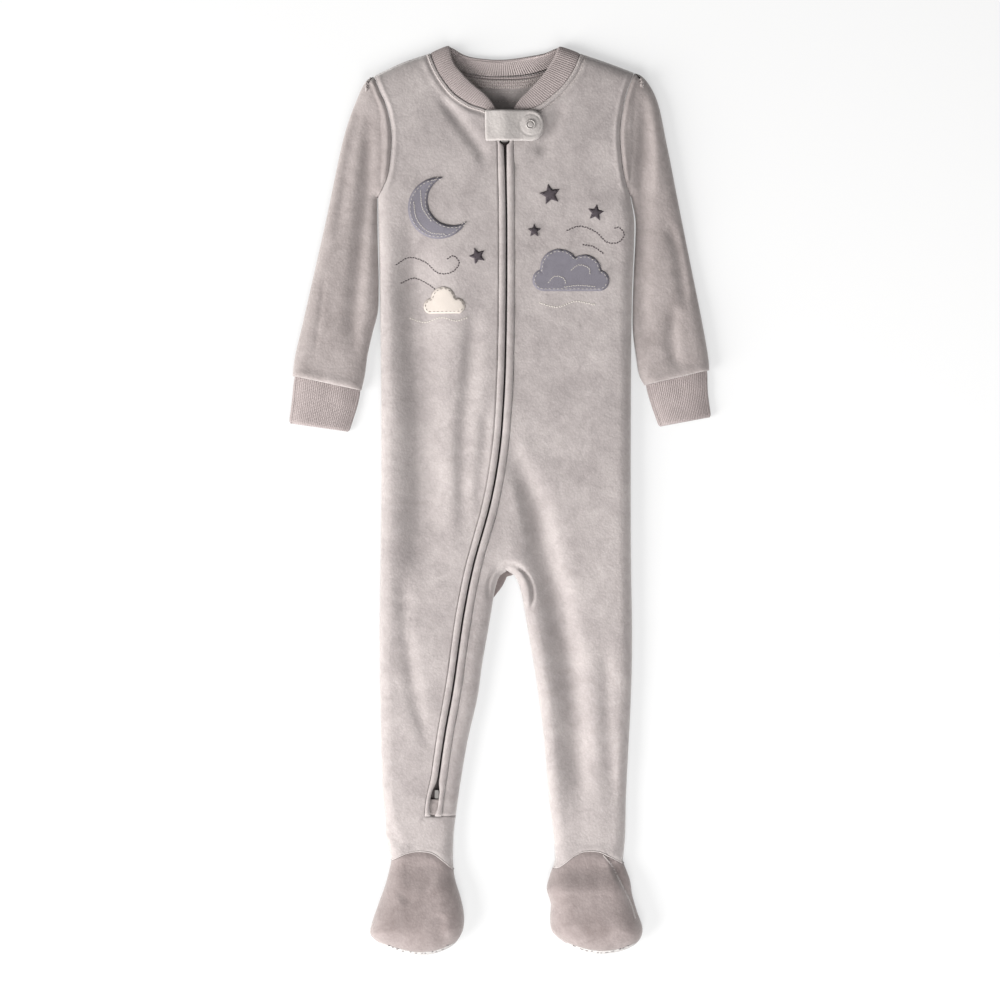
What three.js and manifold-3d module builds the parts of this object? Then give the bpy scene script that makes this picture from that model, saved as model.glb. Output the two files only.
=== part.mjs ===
import * as THREE from 'three';
import { mergeVertices } from 'three/addons/utils/BufferGeometryUtils.js';
import Module from 'manifold-3d';

// A toddler's footed sleeper in plush fleece, laid flat on its back with the zip closed.
// Millimetres. X runs across the garment, Y from the toes to the neck, Z up from the surface.
// Names ending in _r and _l are the wearer's right (the -X side) and left (the +X side).

const wasm = await Module();
wasm.setup();

// Cloth and seams
const clothWall = 2.5;
const ribWall = 2.6;
const feltWall = 1.2;
const tapeWall = 1.0;
const seamGap = 0.3;
const edgeTouch = 0.05;

// How full the layers lie on each other
const bodyFullness = 2;
const fullnessReach = 28;
const backCurl = 7;
const sleeveSeamHeight = 4.6;
const sleeveCrown = 12;
const sleeveRounding = 11;
const sleeveFullness = 1.2;

// Rib knit
const ribPitch = 2;
const ribDepth = 0.35;
const ribInnerStride = 4;
const cuffHeight = 9.8;

// Zip: half the gap at the coil and at the slider, and the two welts beside it
const zipHalfGap = 0.8;
const sliderHalfGap = 4.4;
const sliderTop = 312;
const weltWidth = { r: 5.8, l: 6.7 };
const weltRise = 1.5;
const weltDepth = 2.3;
const tapeHalfWidth = 10.5;
const coilHalfWidth = 0.5;
const coilRise = 0.9;
const zipBottom = -278;
const stopGap = { y: -263, reach: 12, extra: 1.9 };

// Chin guard and its snap
const guard = { left: -13.4, right: 37.8, top: 342.2, bottom: 315, wall: 3, roundStart: 25 };
const guardLift = { base: 0.9, overZip: 3, zipReach: 10, overSnap: 1.3, snapReach: 7 };
const snap = { x: 26.7, y: 329, outerRadius: 4.3, innerRadius: 2.5, height: 1.1 };
const stud = { radius: 3.8, height: 1, below: 0.6 };

// Slider, its pull and the stop at the bottom of the zip. Base is the height over the chest.
const slider = { y: 318.5, width: 7, length: 9, height: 3, corner: 1.5, bevel: 0.4, base: -1.2 };
const pull = { y: 327, width: 4.2, length: 15, height: 1, corner: 1.2, bevel: 0.25, base: 2.25 };
const zipStop = { y: -259, width: 3.8, length: 7.6, height: 1.4, corner: 0.8, bevel: 0.3, base: -1.6 };

// Height of the crown, width of the rounded edge and height of the side seam along the garment
const profile = [
  { y: -402, crown: 20, rounding: 19, seam: 7.5 },
  { y: -372, crown: 25, rounding: 22, seam: 7.5 },
  { y: -345, crown: 23, rounding: 20, seam: 7.5 },
  { y: -320, crown: 16, rounding: 14, seam: 6.2 },
  { y: -300, crown: 14, rounding: 12, seam: 5.5 },
  { y: -120, crown: 14.5, rounding: 13, seam: 5.5 },
  { y: 100, crown: 15, rounding: 14, seam: 5.5 },
  { y: 300, crown: 14.5, rounding: 14, seam: 5.5 },
  { y: 365, crown: 13, rounding: 12, seam: 5.5 },
  { y: 401, crown: 10.5, rounding: 9, seam: 5.5 },
];

// Outlines, each followed clockwise round the garment, so the cloth lies on the right of the path
const underarm = { r: [-107.8, 265.6], l: [115, 266.6] };
const shoulderTip = { r: [-118.2, 368.7], l: [126.1, 372.2] };
const armholeTop = { r: [-111.1, 373.1], l: [117.9, 376.1] };
const neckPoint = { r: [-61.8, 393.2], l: [71, 392.9] };
const neckPeak = { r: [-45.1, 400.4], l: [51.9, 399.7] };
const ankleOuter = { r: [-95.6, -318], l: [108, -318] };
const ankleInner = { r: [-41.6, -318], l: [48.4, -318] };
const crotch = [6.2, -62.9];

const outlines = {
  sideR: [ankleOuter.r, [-97, -311], [-100.4, -297], [-100.6, -283], [-103, -264], [-105.6, -176],
    [-106.3, -123], [-105.4, -53], [-104.7, 18], [-105.4, 140], [-106.9, 229], underarm.r],
  sideL: [underarm.l, [118.2, 247], [118.2, 229], [116.2, 176], [115.3, 60], [115.4, -53], [116.4, -123],
    [115.3, -176], [112.6, -229], [110.9, -264], [110, -300], ankleOuter.l],
  capFoldR: [underarm.r, [-108.6, 297], [-109.1, 325], [-111.1, 343], [-116.2, 357.5], shoulderTip.r],
  capFoldL: [shoulderTip.l, [123.6, 357], [122.1, 333.5], [121.1, 311.5], [118.5, 288], underarm.l],
  capTopR: [shoulderTip.r, armholeTop.r],
  shoulderR: [armholeTop.r, [-87, 384.6], neckPoint.r],
  neckFoldR: [neckPoint.r, neckPeak.r],
  neckFoldL: [neckPeak.l, neckPoint.l],
  shoulderL: [neckPoint.l, [94.2, 385], armholeTop.l],
  capTopL: [armholeTop.l, shoulderTip.l],
  innerLegL: [ankleInner.l, [47.5, -299], [43.1, -264], [38.7, -211], [34.3, -176], [29, -141],
    [22.9, -106], [19.4, -86], [15.8, -73], [11.6, -65.6], crotch],
  innerLegR: [crotch, [0.8, -65.6], [-2.8, -73], [-6, -88], [-9.6, -110], [-15.6, -144], [-20.2, -176],
    [-28.3, -211], [-34.3, -246], [-38.6, -275], [-41, -296], ankleInner.r],
  footR: [ankleInner.r, [-40, -333], [-34.3, -352], [-31.6, -368], [-33, -380], [-40, -391],
    [-55, -399], [-72, -401], [-90, -397.5], [-108, -389.5], [-114.4, -382.5], [-112.5, -372],
    [-106.4, -354], [-100.6, -338], ankleOuter.r],
  footL: [ankleOuter.l, [114.6, -336], [116.4, -348], [120.4, -362], [125.6, -379], [122.6, -388],
    [112, -395.6], [92, -400], [74, -397.6], [56, -389.5], [45.6, -380], [44, -368], [44.6, -356],
    [41, -343], [43.4, -332], ankleInner.l],
};

// Sleeve outlines, followed the same way round each sleeve
const capStart = { r: [-111.9, 372.7], l: [118.7, 375.8] };
const sleeveHem = {
  r: { outer: [-183, 108.8], inner: [-121.9, 95.9] },
  l: { outer: [184.6, 114], inner: [126.8, 100.5] },
};
const sleeveOutlines = {
  outerR: [sleeveHem.r.outer, [-181.3, 124], [-173.4, 158.4], [-154, 244], [-136.6, 323.8], [-126.6, 352],
    shoulderTip.r, capStart.r],
  innerR: [underarm.r, [-107.5, 229], [-106.6, 190], [-107.4, 165], [-111.6, 148], [-116.2, 128],
    [-119, 108], sleeveHem.r.inner],
  outerL: [capStart.l, shoulderTip.l, [137.3, 354.6], [147.3, 311.5], [158, 257], [168, 207],
    [177.8, 158.4], [183.9, 123.2], sleeveHem.l.outer],
  innerL: [sleeveHem.l.inner, [122.6, 108], [119, 128], [116.6, 148], [116.4, 168], [117.4, 200],
    [118.8, 229], [118.8, 247], underarm.l],
};

// Seams: armholes from the shoulder down, neckline from the shoulder to the zip, neck edge beside it
const armholes = {
  r: [armholeTop.r, [-106.1, 360], [-99, 343], [-95.5, 321.6], [-95.9, 306], [-99, 283.5], underarm.r],
  l: [armholeTop.l, [111.8, 360], [107.9, 344], [105.4, 324.7], [106.5, 301.3], [110, 280], underarm.l],
};
const neckSeams = {
  r: [neckPoint.r, [-57.5, 381.5], [-50.2, 368.7], [-40, 356.4], [-26.8, 347.6], [-13.6, 343.2],
    [-2.7, 336.6]],
  l: [neckPoint.l, [65.1, 378.4], [56.3, 365.2], [46.2, 355.5], [34.3, 346.7], [22, 341.4],
    [11.6, 336.6]],
};
const neckEdges = {
  r: [neckPeak.r, [-41.4, 386], [-32.6, 374], [-23.8, 365.2], [-12.3, 355.5], [-5, 346], [-2.7, 341.6]],
  l: [neckPeak.l, [47.5, 389], [37.4, 373], [25.5, 360], [16.7, 351], [12.6, 345], [11.6, 341.6]],
};
const backNeckSeam = [neckPoint.r, [-48.4, 381.9], [-35.2, 374.9], [-17.6, 371.4], [3, 370.5],
  [23.8, 371.4], [41.4, 375.8], [57.2, 382.8], neckPoint.l];
const backNeckEdge = [neckPeak.r, [-29.9, 391.6], [-12.3, 388.5], [3, 388], [25.5, 390.9],
  [40.5, 394.2], neckPeak.l];
const zipLine = [[3.3, 341.6], [4.7, 296], [5.6, 240], [5, 142.6], [3.3, 90.6], [-0.6, 42.2], [-8.4, -2.6],
  [-23.5, -58.1], [-31.8, -99.4], [-41.6, -167.2], [-48.8, -207.7], [-55, -252.6], [-57.4, zipBottom - 1]];
const vampSeams = {
  r: [ankleOuter.r, [-89.8, -315], [-81.8, -311.5], [-71.3, -309.8], [-59.8, -311.5], [-51, -317.7],
    [-41.4, -326]],
  l: [[47.5, -324.5], [50.6, -324], [57, -320.3], [66, -313.3], [74.8, -309.8], [87, -310.3],
    [95.6, -314.2], [108.6, -321]],
};
const heelSeamY = -346;

// The largest folds. A negative rise is a trough, and spread is half its width.
const bodyFolds = [
  { rise: -4.2, spread: 11, path: [[-82.7, 242], [-89.8, 198], [-88, 141], [-81.8, 70], [-81, 0],
    [-85.4, -70], [-89, -105]] },
  { rise: -3, spread: 7.5, path: [[-21, 176], [-28.2, 101], [-32.6, 44], [-31.7, -40]] },
  { rise: -2, spread: 5.5, path: [[-9.7, 88], [-13.2, 53], [-15.5, 26], [-20, -18]] },
  { rise: 1.6, spread: 8, path: [[16, 60], [27, 28], [38, 0]] },
  { rise: -4.6, spread: 7.5, path: [[9, 46], [22, 16], [31, -33], [43, -81], [52, -127], [58, -167],
    [65, -250], [69, -280]] },
  { rise: 1.8, spread: 6, path: [[10, 20], [17.5, -9], [25, -44]] },
  { rise: -2, spread: 6.5, path: [[93, -120], [95, -190], [99, -275]] },
  { rise: -2.2, spread: 6.5, path: [[-86, -53], [-83.6, -106], [-77.4, -158], [-66, -207], [-60, -226]] },
  { rise: -2.6, spread: 6, path: [[54, 350], [45, 323], [34, 308], [20, 300]] },
  { rise: 1.2, spread: 7, path: [[-40, 350], [-27, 334], [-16, 316]] },
  { rise: -2, spread: 5, path: [[-100, -288], [-88, -304]] },
  { rise: -3.4, spread: 5, path: [[96, -319], [103.5, -338], [113, -354]] },
];
const sleeveFoldsR = [
  { rise: -2.2, spread: 6, path: [[-121, 360], [-128, 326], [-134, 299], [-139, 264], [-146, 225]] },
  { rise: -2.4, spread: 7, path: [[-117, 350], [-115.5, 317], [-118, 264], [-123, 220], [-127, 176],
    [-129.5, 150], [-125, 119]] },
];
const sleeveFoldsL = [
  { rise: -2.6, spread: 7, path: [[126, 362], [127.5, 334], [125, 282], [124.5, 229], [124, 158], [128, 120]] },
  { rise: -2.2, spread: 5.5, path: [[148, 245], [157, 216], [164, 167]] },
  { rise: -2.2, spread: 5.5, path: [[154, 172], [151.5, 137], [157, 113]] },
];

// Generic night sky in felt on the chest
const moonPatch = { x: -54, y: 256, radius: 27, biteRadius: 22, biteShift: 14, turn: 0.5 };
const largeCloud = {
  x: 62,
  y: 196,
  base: -13,
  lobes: [
    { x: -27, y: -3, radius: 12 },
    { x: -10, y: 7, radius: 17 },
    { x: 12, y: 4, radius: 15 },
    { x: 29, y: -4, radius: 10 },
  ],
};
const smallCloud = {
  x: -48,
  y: 172,
  base: -8.5,
  lobes: [
    { x: -15, y: -2, radius: 8 },
    { x: -2, y: 4, radius: 11 },
    { x: 13, y: -2, radius: 8 },
  ],
};
const stars = [
  { x: 44, y: 268, radius: 9.5, turn: 0.2 },
  { x: 84, y: 252, radius: 7.5, turn: -0.15 },
  { x: -20, y: 214, radius: 7.5, turn: 0.35 },
  { x: 30, y: 236, radius: 6, turn: 0 },
];

const colours = {
  plush: { color: 0xbab1ae, roughness: 0.95, metalness: 0 },
  sleevePlush: { color: 0xb3aaa7, roughness: 0.95, metalness: 0 },
  vampPlush: { color: 0xa39895, roughness: 0.95, metalness: 0 },
  rib: { color: 0xa19693, roughness: 0.9, metalness: 0 },
  guardPlush: { color: 0xc4bfba, roughness: 0.95, metalness: 0 },
  sole: { color: 0xd8d4d0, roughness: 0.8, metalness: 0 },
  slateFelt: { color: 0x847f86, roughness: 0.95, metalness: 0 },
  charcoalFelt: { color: 0x554e52, roughness: 0.95, metalness: 0 },
  creamFelt: { color: 0xd7cdc4, roughness: 0.95, metalness: 0 },
  tape: { color: 0x6b6463, roughness: 0.8, metalness: 0 },
  metal: { color: 0xa9a6a4, roughness: 0.35, metalness: 0.8 },
  snapMetal: { color: 0xc9c6c2, roughness: 0.3, metalness: 0.5 },
};

// Paths
const pathSamples = 48;

function smoothPath(points, samples = pathSamples) {
  const places = points.map(([x, y]) => new THREE.Vector3(x, y, 0));
  const curve = new THREE.CatmullRomCurve3(places, false, 'centripetal');
  return curve.getSpacedPoints(samples).map((point) => [point.x, point.y]);
}

function lengthOf(path) {
  let total = 0;
  for (let i = 1; i < path.length; i++) {
    total += Math.hypot(path[i][0] - path[i - 1][0], path[i][1] - path[i - 1][1]);
  }
  return total;
}

function pointAlong(path, distance) {
  let left = Math.max(distance, 0);
  for (let i = 1; i < path.length; i++) {
    const [ax, ay] = path[i - 1];
    const [bx, by] = path[i];
    const step = Math.hypot(bx - ax, by - ay);
    if (left <= step) {
      const t = step > 0 ? left / step : 0;
      return [ax + (bx - ax) * t, ay + (by - ay) * t];
    }
    left -= step;
  }
  return path[path.length - 1];
}

function xAt(path, y) {
  for (let i = 1; i < path.length; i++) {
    const [ax, ay] = path[i - 1];
    const [bx, by] = path[i];
    if ((ay - y) * (by - y) <= 0 && ay !== by) {
      return ax + ((bx - ax) * (y - ay)) / (by - ay);
    }
  }
  const [first, last] = [path[0], path[path.length - 1]];
  return Math.abs(first[1] - y) < Math.abs(last[1] - y) ? first[0] : last[0];
}

// Nearest point of the paths, with the direction that leads out of the cloth there
function nearestEdge(paths, x, y) {
  const nearest = { distance: Infinity, outward: [0, 0] };
  for (const path of paths) {
    for (let i = 1; i < path.length; i++) {
      const [ax, ay] = path[i - 1];
      const [tx, ty] = [path[i][0] - ax, path[i][1] - ay];
      const lengthSquared = tx * tx + ty * ty;
      const t = THREE.MathUtils.clamp(((x - ax) * tx + (y - ay) * ty) / lengthSquared, 0, 1);
      const distance = Math.hypot(x - ax - tx * t, y - ay - ty * t);
      if (distance < nearest.distance) {
        const length = Math.sqrt(lengthSquared);
        nearest.distance = distance;
        nearest.outward = [-ty / length, tx / length];
      }
    }
  }
  return nearest;
}

// Heights
function smoothAll(table) {
  return Object.fromEntries(Object.entries(table).map(([name, points]) => [name, smoothPath(points)]));
}

const paths = smoothAll(outlines);
const sleevePaths = smoothAll(sleeveOutlines);
const bodyEdges = Object.values(paths);

function roundedRise(t) {
  return Math.sqrt(1 - (1 - THREE.MathUtils.clamp(t, 0, 1)) ** 2);
}

function profileAt(y) {
  let upper = 1;
  while (upper < profile.length - 1 && profile[upper].y < y) {
    upper++;
  }
  const [a, b] = [profile[upper - 1], profile[upper]];
  const t = THREE.MathUtils.smoothstep(y, a.y, b.y);
  const mix = (name) => a[name] + (b[name] - a[name]) * t;
  return { crown: mix('crown'), rounding: mix('rounding'), seam: mix('seam') };
}

const foldFade = 0.22;

function foldHeight(folds, x, y) {
  let total = 0;
  for (const fold of folds) {
    let best = { distance: Infinity, along: 0 };
    for (let i = 1; i < fold.smooth.length; i++) {
      const [ax, ay] = fold.smooth[i - 1];
      const [tx, ty] = [fold.smooth[i][0] - ax, fold.smooth[i][1] - ay];
      const t = THREE.MathUtils.clamp(((x - ax) * tx + (y - ay) * ty) / (tx * tx + ty * ty), 0, 1);
      const distance = Math.hypot(x - ax - tx * t, y - ay - ty * t);
      if (distance < best.distance) {
        best = { distance, along: (i - 1 + t) / (fold.smooth.length - 1) };
      }
    }
    const ends = THREE.MathUtils.smoothstep(Math.min(best.along, 1 - best.along), 0, foldFade);
    total += fold.rise * (0.15 + 0.85 * ends) * Math.exp(-((best.distance / fold.spread) ** 2));
  }
  return total;
}

for (const fold of [...bodyFolds, ...sleeveFoldsR, ...sleeveFoldsL]) {
  fold.smooth = smoothPath(fold.path, 16);
}

function bodyHeight(x, y) {
  const { distance } = nearestEdge(bodyEdges, x, y);
  const { crown, rounding, seam } = profileAt(y);
  const rise = roundedRise(distance / rounding);
  const swell = bodyFullness * (1 - Math.exp(-distance / fullnessReach));
  return seam + (crown - seam) * rise + swell + rise * foldHeight(bodyFolds, x, y);
}

const slopeStep = 0.4;

// A place on a sheet: its outer point, and the inner one a wall's thickness inside it
function placeOn(height, edges, seamShift, side) {
  return ([x, y], wall) => {
    const { distance, outward } = nearestEdge(edges, x, y);
    if (distance < edgeTouch) {
      const z = height(x, y) + seamShift;
      return { outer: [x, y, z], inner: [x - outward[0] * wall, y - outward[1] * wall, z], onEdge: true };
    }
    const z = height(x, y);
    const slopeX = (height(x + slopeStep, y) - height(x - slopeStep, y)) / (2 * slopeStep);
    const slopeY = (height(x, y + slopeStep) - height(x, y - slopeStep)) / (2 * slopeStep);
    const length = Math.hypot(slopeX, slopeY, 1) * side;
    const inner = [x + (slopeX * wall) / length, y + (slopeY * wall) / length, z - wall / length];
    return { outer: [x, y, z], inner, onEdge: false };
  };
}

// A sheet of cloth, made of patches that share their edge points, and given its wall at the end
class Sheet {
  constructor(wall) {
    this.wall = wall;
    this.points = [];
    this.triangles = [];
    this.known = new Map();
  }

  point(place, side) {
    const key = place.outer.map((value) => Math.round(value * 100)).join();
    if (!this.known.has(key)) {
      this.known.set(key, this.points.length);
      this.points.push({ ...place, side });
    }
    return this.known.get(key);
  }

  triangle(a, b, c) {
    if (a !== b && b !== c && a !== c) {
      this.triangles.push([a, b, c]);
    }
  }

  // Rows of spots from one edge of the patch to the other. Side is 1 for a face that looks up,
  // and -1 for one that looks down.
  patch(rows, placer, side = 1) {
    const ids = rows.map((row) => row.map((spot) => this.point(placer(spot, this.wall), side)));
    const quads = [];
    for (let r = 1; r < ids.length; r++) {
      for (let c = 1; c < ids[r].length; c++) {
        quads.push([ids[r - 1][c - 1], ids[r - 1][c], ids[r][c], ids[r][c - 1]]);
      }
    }
    const turned = quads.reduce((total, quad) => total + this.areaAbove(quad), 0);
    const flip = turned > 0 !== side > 0;
    for (const [a, b, c, d] of quads) {
      this.quad(flip ? [d, c, b, a] : [a, b, c, d]);
    }
    return this;
  }

  quad([a, b, c, d]) {
    const across = (p, q) => {
      const [u, v] = [this.points[p].outer, this.points[q].outer];
      return Math.hypot(u[0] - v[0], u[1] - v[1], u[2] - v[2]);
    };
    const halves = across(a, c) <= across(b, d) ? [[a, b, c], [a, c, d]] : [[a, b, d], [b, c, d]];
    for (const [p, q, r] of halves) {
      this.triangle(p, q, r);
    }
  }

  areaAbove(quad) {
    return quad.reduce((total, id, i) => {
      const [ax, ay] = this.points[id].outer;
      const [bx, by] = this.points[quad[(i + 1) % 4]].outer;
      return total + ax * by - bx * ay;
    }, 0);
  }

  rim() {
    const seen = new Map();
    for (const [a, b, c] of this.triangles) {
      for (const [from, to] of [[a, b], [b, c], [c, a]]) {
        seen.set(`${from},${to}`, [from, to]);
      }
    }
    return [...seen.values()].filter(([from, to]) => !seen.has(`${to},${from}`));
  }

  geometry() {
    const count = this.points.length;
    const rim = this.rim();
    const onRim = new Set(rim.flat());
    const outer = this.points.map((point) => point.outer);
    const inner = this.points.map((point, id) => {
      const [x, y, z] = point.outer;
      return onRim.has(id) && !point.onEdge ? [x, y, z - this.wall * point.side] : point.inner;
    });
    const faces = this.triangles.flatMap(([a, b, c]) => [[a, b, c], [c + count, b + count, a + count]]);
    for (const [from, to] of rim) {
      faces.push([to, from, from + count], [to, from + count, to + count]);
    }
    return solidGeometry([...outer, ...inner], faces);
  }

  // The same patches as a layer that lies above the sheet
  layer(low, high) {
    const count = this.points.length;
    const lift = (by) => this.points.map(({ outer: [x, y, z] }) => [x, y, z + by]);
    const faces = this.triangles.flatMap(([a, b, c]) => [[a, b, c], [c + count, b + count, a + count]]);
    for (const [from, to] of this.rim()) {
      faces.push([to, from, from + count], [to, from + count, to + count]);
    }
    return solidGeometry([...lift(high), ...lift(low)], faces);
  }
}

function solidGeometry(points, faces) {
  let volume = 0;
  for (const [a, b, c] of faces) {
    const [p, q, r] = [points[a], points[b], points[c]];
    volume += p[0] * (q[1] * r[2] - q[2] * r[1]) - p[1] * (q[0] * r[2] - q[2] * r[0])
      + p[2] * (q[0] * r[1] - q[1] * r[0]);
  }
  const outward = volume < 0 ? faces.map(([a, b, c]) => [a, c, b]) : faces;
  const geometry = new THREE.BufferGeometry();
  geometry.setAttribute('position', new THREE.Float32BufferAttribute(points.flat(), 3));
  geometry.setIndex(outward.flat());
  return geometry;
}

function toManifold(geometry) {
  const mesh = new wasm.Mesh({
    numProp: 3,
    vertProperties: Float32Array.from(geometry.attributes.position.array),
    triVerts: Uint32Array.from(geometry.index.array),
  });
  return new wasm.Manifold(mesh);
}

function fromManifold(solid) {
  const { vertProperties, triVerts } = solid.getMesh();
  const geometry = new THREE.BufferGeometry();
  geometry.setAttribute('position', new THREE.BufferAttribute(vertProperties, 3));
  geometry.setIndex(new THREE.BufferAttribute(triVerts, 1));
  return geometry;
}

// Steps across a row: close together at a rounded edge, then even. Relax 1 makes them all even.
const edgeSteps = [1.2, 4, 9, 16];

function acrossRow(from, to, { start = 0, end = 0, even, relaxStart = 0, relaxEnd = 0 }) {
  const width = Math.max(Math.hypot(to[0] - from[0], to[1] - from[1]), edgeTouch);
  const count = start + even + end;
  const reachOf = (steps) => (steps ? edgeSteps[steps - 1] : 0);
  const squeeze = Math.min(1, (0.7 * width) / (reachOf(start) + reachOf(end) + edgeTouch));
  const steps = edgeSteps.map((step) => step * squeeze);
  const startReach = reachOf(start) * squeeze;
  const endReach = reachOf(end) * squeeze;
  const row = [];
  for (let i = 0; i <= count; i++) {
    const uniform = (width * i) / count;
    let distance = startReach + ((width - startReach - endReach) * (i - start)) / even;
    let relax = relaxStart + (relaxEnd - relaxStart) * (i / count);
    if (i < start) {
      distance = i ? steps[i - 1] : 0;
      relax = relaxStart;
    } else if (i > count - end) {
      distance = width - (count - i ? steps[count - i - 1] : 0);
      relax = relaxEnd;
    }
    const t = (distance + (uniform - distance) * relax) / width;
    row.push([from[0] + (to[0] - from[0]) * t, from[1] + (to[1] - from[1]) * t]);
  }
  return row;
}

function between([ax, ay], [bx, by], t) {
  return [ax + (bx - ax) * t, ay + (by - ay) * t];
}

function evenly(from, to, count) {
  return Array.from({ length: count + 1 }, (_, i) => from + ((to - from) * i) / count);
}

const garment = new THREE.Group();

function add(name, geometry, finish) {
  const flat = geometry.index ? geometry.toNonIndexed() : geometry;
  flat.computeVertexNormals();
  const mesh = new THREE.Mesh(flat, new THREE.MeshStandardMaterial({ ...finish, flatShading: true }));
  mesh.name = name;
  garment.add(mesh);
  return mesh;
}

// Rows shared by everything that meets the zip
const zipPath = smoothPath(zipLine, 96);
const upperZipRows = [335.8, 318, 300, 283, 266];
const lowerZipRows = evenly(266, zipBottom, 18);
const toCrotch = (y) => Math.abs(y - crotch[1]);
const crotchRow = lowerZipRows.reduce((best, y) => (toCrotch(y) < toCrotch(best) ? y : best));
const bodyRows = lowerZipRows.map((y) => (y === crotchRow ? crotch[1] : y));

// The gap opens round the slider at the top and round the stop at the bottom
function halfGapAt(y) {
  if (y > sliderTop) {
    return sliderHalfGap;
  }
  return zipHalfGap + stopGap.extra * Math.exp(-(((y - stopGap.y) / stopGap.reach) ** 4));
}

function weltOuter(side, y) {
  const direction = side === 'r' ? -1 : 1;
  return xAt(zipPath, y) + direction * (zipHalfGap + weltWidth[side]);
}

function panelEdge(side, y) {
  const direction = side === 'r' ? -1 : 1;
  return weltOuter(side, y) + direction * seamGap;
}

// The seam line of a panel, moved off its neighbour by the seam gap
function shifted(path, dx, dy) {
  return path.map(([x, y]) => [x + dx, y + dy]);
}

// Stations down an armhole, shared by the panels and the sleeve that meet there
const shoulderSteps = [0, 1.5, 6, 15];
const stationsBelow = 9;
const shoulderGap = { armhole: 0.3, neck: 0.9 };
const shoulderBend = 30;

function stations(path) {
  const lastStep = shoulderSteps[shoulderSteps.length - 1];
  const rest = lengthOf(path) - lastStep;
  const below = Array.from({ length: stationsBelow }, (_, i) => lastStep + (rest * (i + 1)) / stationsBelow);
  return [...shoulderSteps, ...below].map((distance) => pointAlong(path, distance));
}

// Rows of the upper half of a panel, from the shoulder seam to the underarm
function upperRows(side, neckSeam, innerPoints, across) {
  const direction = side === 'r' ? -1 : 1;
  const armhole = stations(smoothPath(armholes[side]));
  armhole[armhole.length - 1] = underarm[side];
  const neck = shifted(smoothPath(neckSeam), direction * 0.25, -0.3);
  neck[0] = neckPoint[side];
  const neckRows = stationsBelow - innerPoints.length;
  const lastStep = shoulderSteps[shoulderSteps.length - 1];
  const neckRest = lengthOf(neck) - lastStep;
  const below = evenly(0, 1, neckRows + 1).slice(1, -1).map((share) => lastStep + neckRest * share);
  const inner = [...shoulderSteps, ...below].map((distance) => pointAlong(neck, distance));
  inner.push(...innerPoints);
  const rows = armhole.map((outer, i) => across(outer, inner[i], 1 - i / (armhole.length - 1)));
  const shoulder = side === 'r' ? paths.shoulderR : [...paths.shoulderL].reverse();
  const width = lengthOf([rows[0][0], rows[0][rows[0].length - 1]]);
  const bends = rows[0].map(([x, y]) => {
    const share = Math.hypot(x - rows[0][0][0], y - rows[0][0][1]) / width;
    const open = lengthOf(shoulder) - shoulderGap.armhole - shoulderGap.neck;
    const [sx, sy] = pointAlong(shoulder, shoulderGap.armhole + open * share);
    return [sx - x, sy - y];
  });
  return rows.map((row, i) => {
    const keep = i < shoulderSteps.length ? 1 - shoulderSteps[i] / shoulderBend : 0;
    return row.map(([x, y], j) => [x + bends[j][0] * keep, y + bends[j][1] * keep]);
  });
}

const frontPlace = placeOn(bodyHeight, bodyEdges, seamGap / 2, 1);

const panelEven = 8;
const panelCells = panelEven + 4;
const vampShare = 0.56;
const ankleCells = 5;

// Spots along the seam between a leg and its vamp, shared by both
function vampSpots(side, dy) {
  const seam = shifted(smoothPath(vampSeams[side], 96), 0, dy);
  const shares = side === 'r'
    ? [...evenly(0, vampShare, panelCells), ...evenly(vampShare, 1, ankleCells).slice(1)]
    : evenly(0, 1, legCells);
  const spots = shares.map((share) => pointAlong(seam, lengthOf(seam) * share));
  const foot = footPath(side);
  const [startPart, endPart] = [foot.slice(0, 14), foot.slice(34)];
  const last = spots.length - 1;
  spots[0] = [xAt(endPart, spots[0][1]), spots[0][1]];
  spots[last] = [xAt(startPart, spots[last][1]), spots[last][1]];
  return spots;
}

// Wearer's right front: from the side to the zip, and the whole ankle below it
function frontPanelR() {
  const sheet = new Sheet(clothWall);
  const across = (outer, inner, relaxStart) => acrossRow(outer, inner, { start: 4, even: panelEven, relaxStart });
  const innerPoints = upperZipRows.map((y) => [panelEdge('r', y), y]);
  const rows = upperRows('r', neckSeams.r, innerPoints, across);
  sheet.patch(rows, frontPlace);
  const lower = bodyRows.map((y) => across([xAt(paths.sideR, y), y], [panelEdge('r', y), y], 0));
  lower[0] = rows[rows.length - 1];
  sheet.patch(lower, frontPlace);
  const last = lower[lower.length - 1];
  const seamRow = vampSpots('r', seamGap / 2);
  const middle = seamRow[panelCells];
  const ankleRow = (t) => {
    const y = zipBottom + (ankleOuter.r[1] - zipBottom) * t;
    const zipX = panelEdge('r', zipBottom);
    return across([xAt(paths.sideR, y), y], between([zipX, zipBottom], middle, t), t);
  };
  sheet.patch([last, ankleRow(0.5), seamRow.slice(0, panelCells + 1)], frontPlace);
  const ankleStart = zipBottom - 1.6;
  const [, seamEndY] = seamRow[seamRow.length - 1];
  const innerEdge = [...paths.innerLegR, ...paths.footR];
  const stripRow = (t) => {
    const y = ankleStart + (seamEndY - ankleStart) * t;
    return acrossRow(ankleRow(t)[panelCells], [xAt(innerEdge, y), y], { even: ankleCells - 2, end: 2 });
  };
  sheet.patch([stripRow(0), stripRow(0.5), seamRow.slice(panelCells)], frontPlace);
  return sheet;
}

const legEven = 8;
const legCells = legEven + 7;
const crotchReach = 70;
const ankleRowY = -296;

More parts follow.
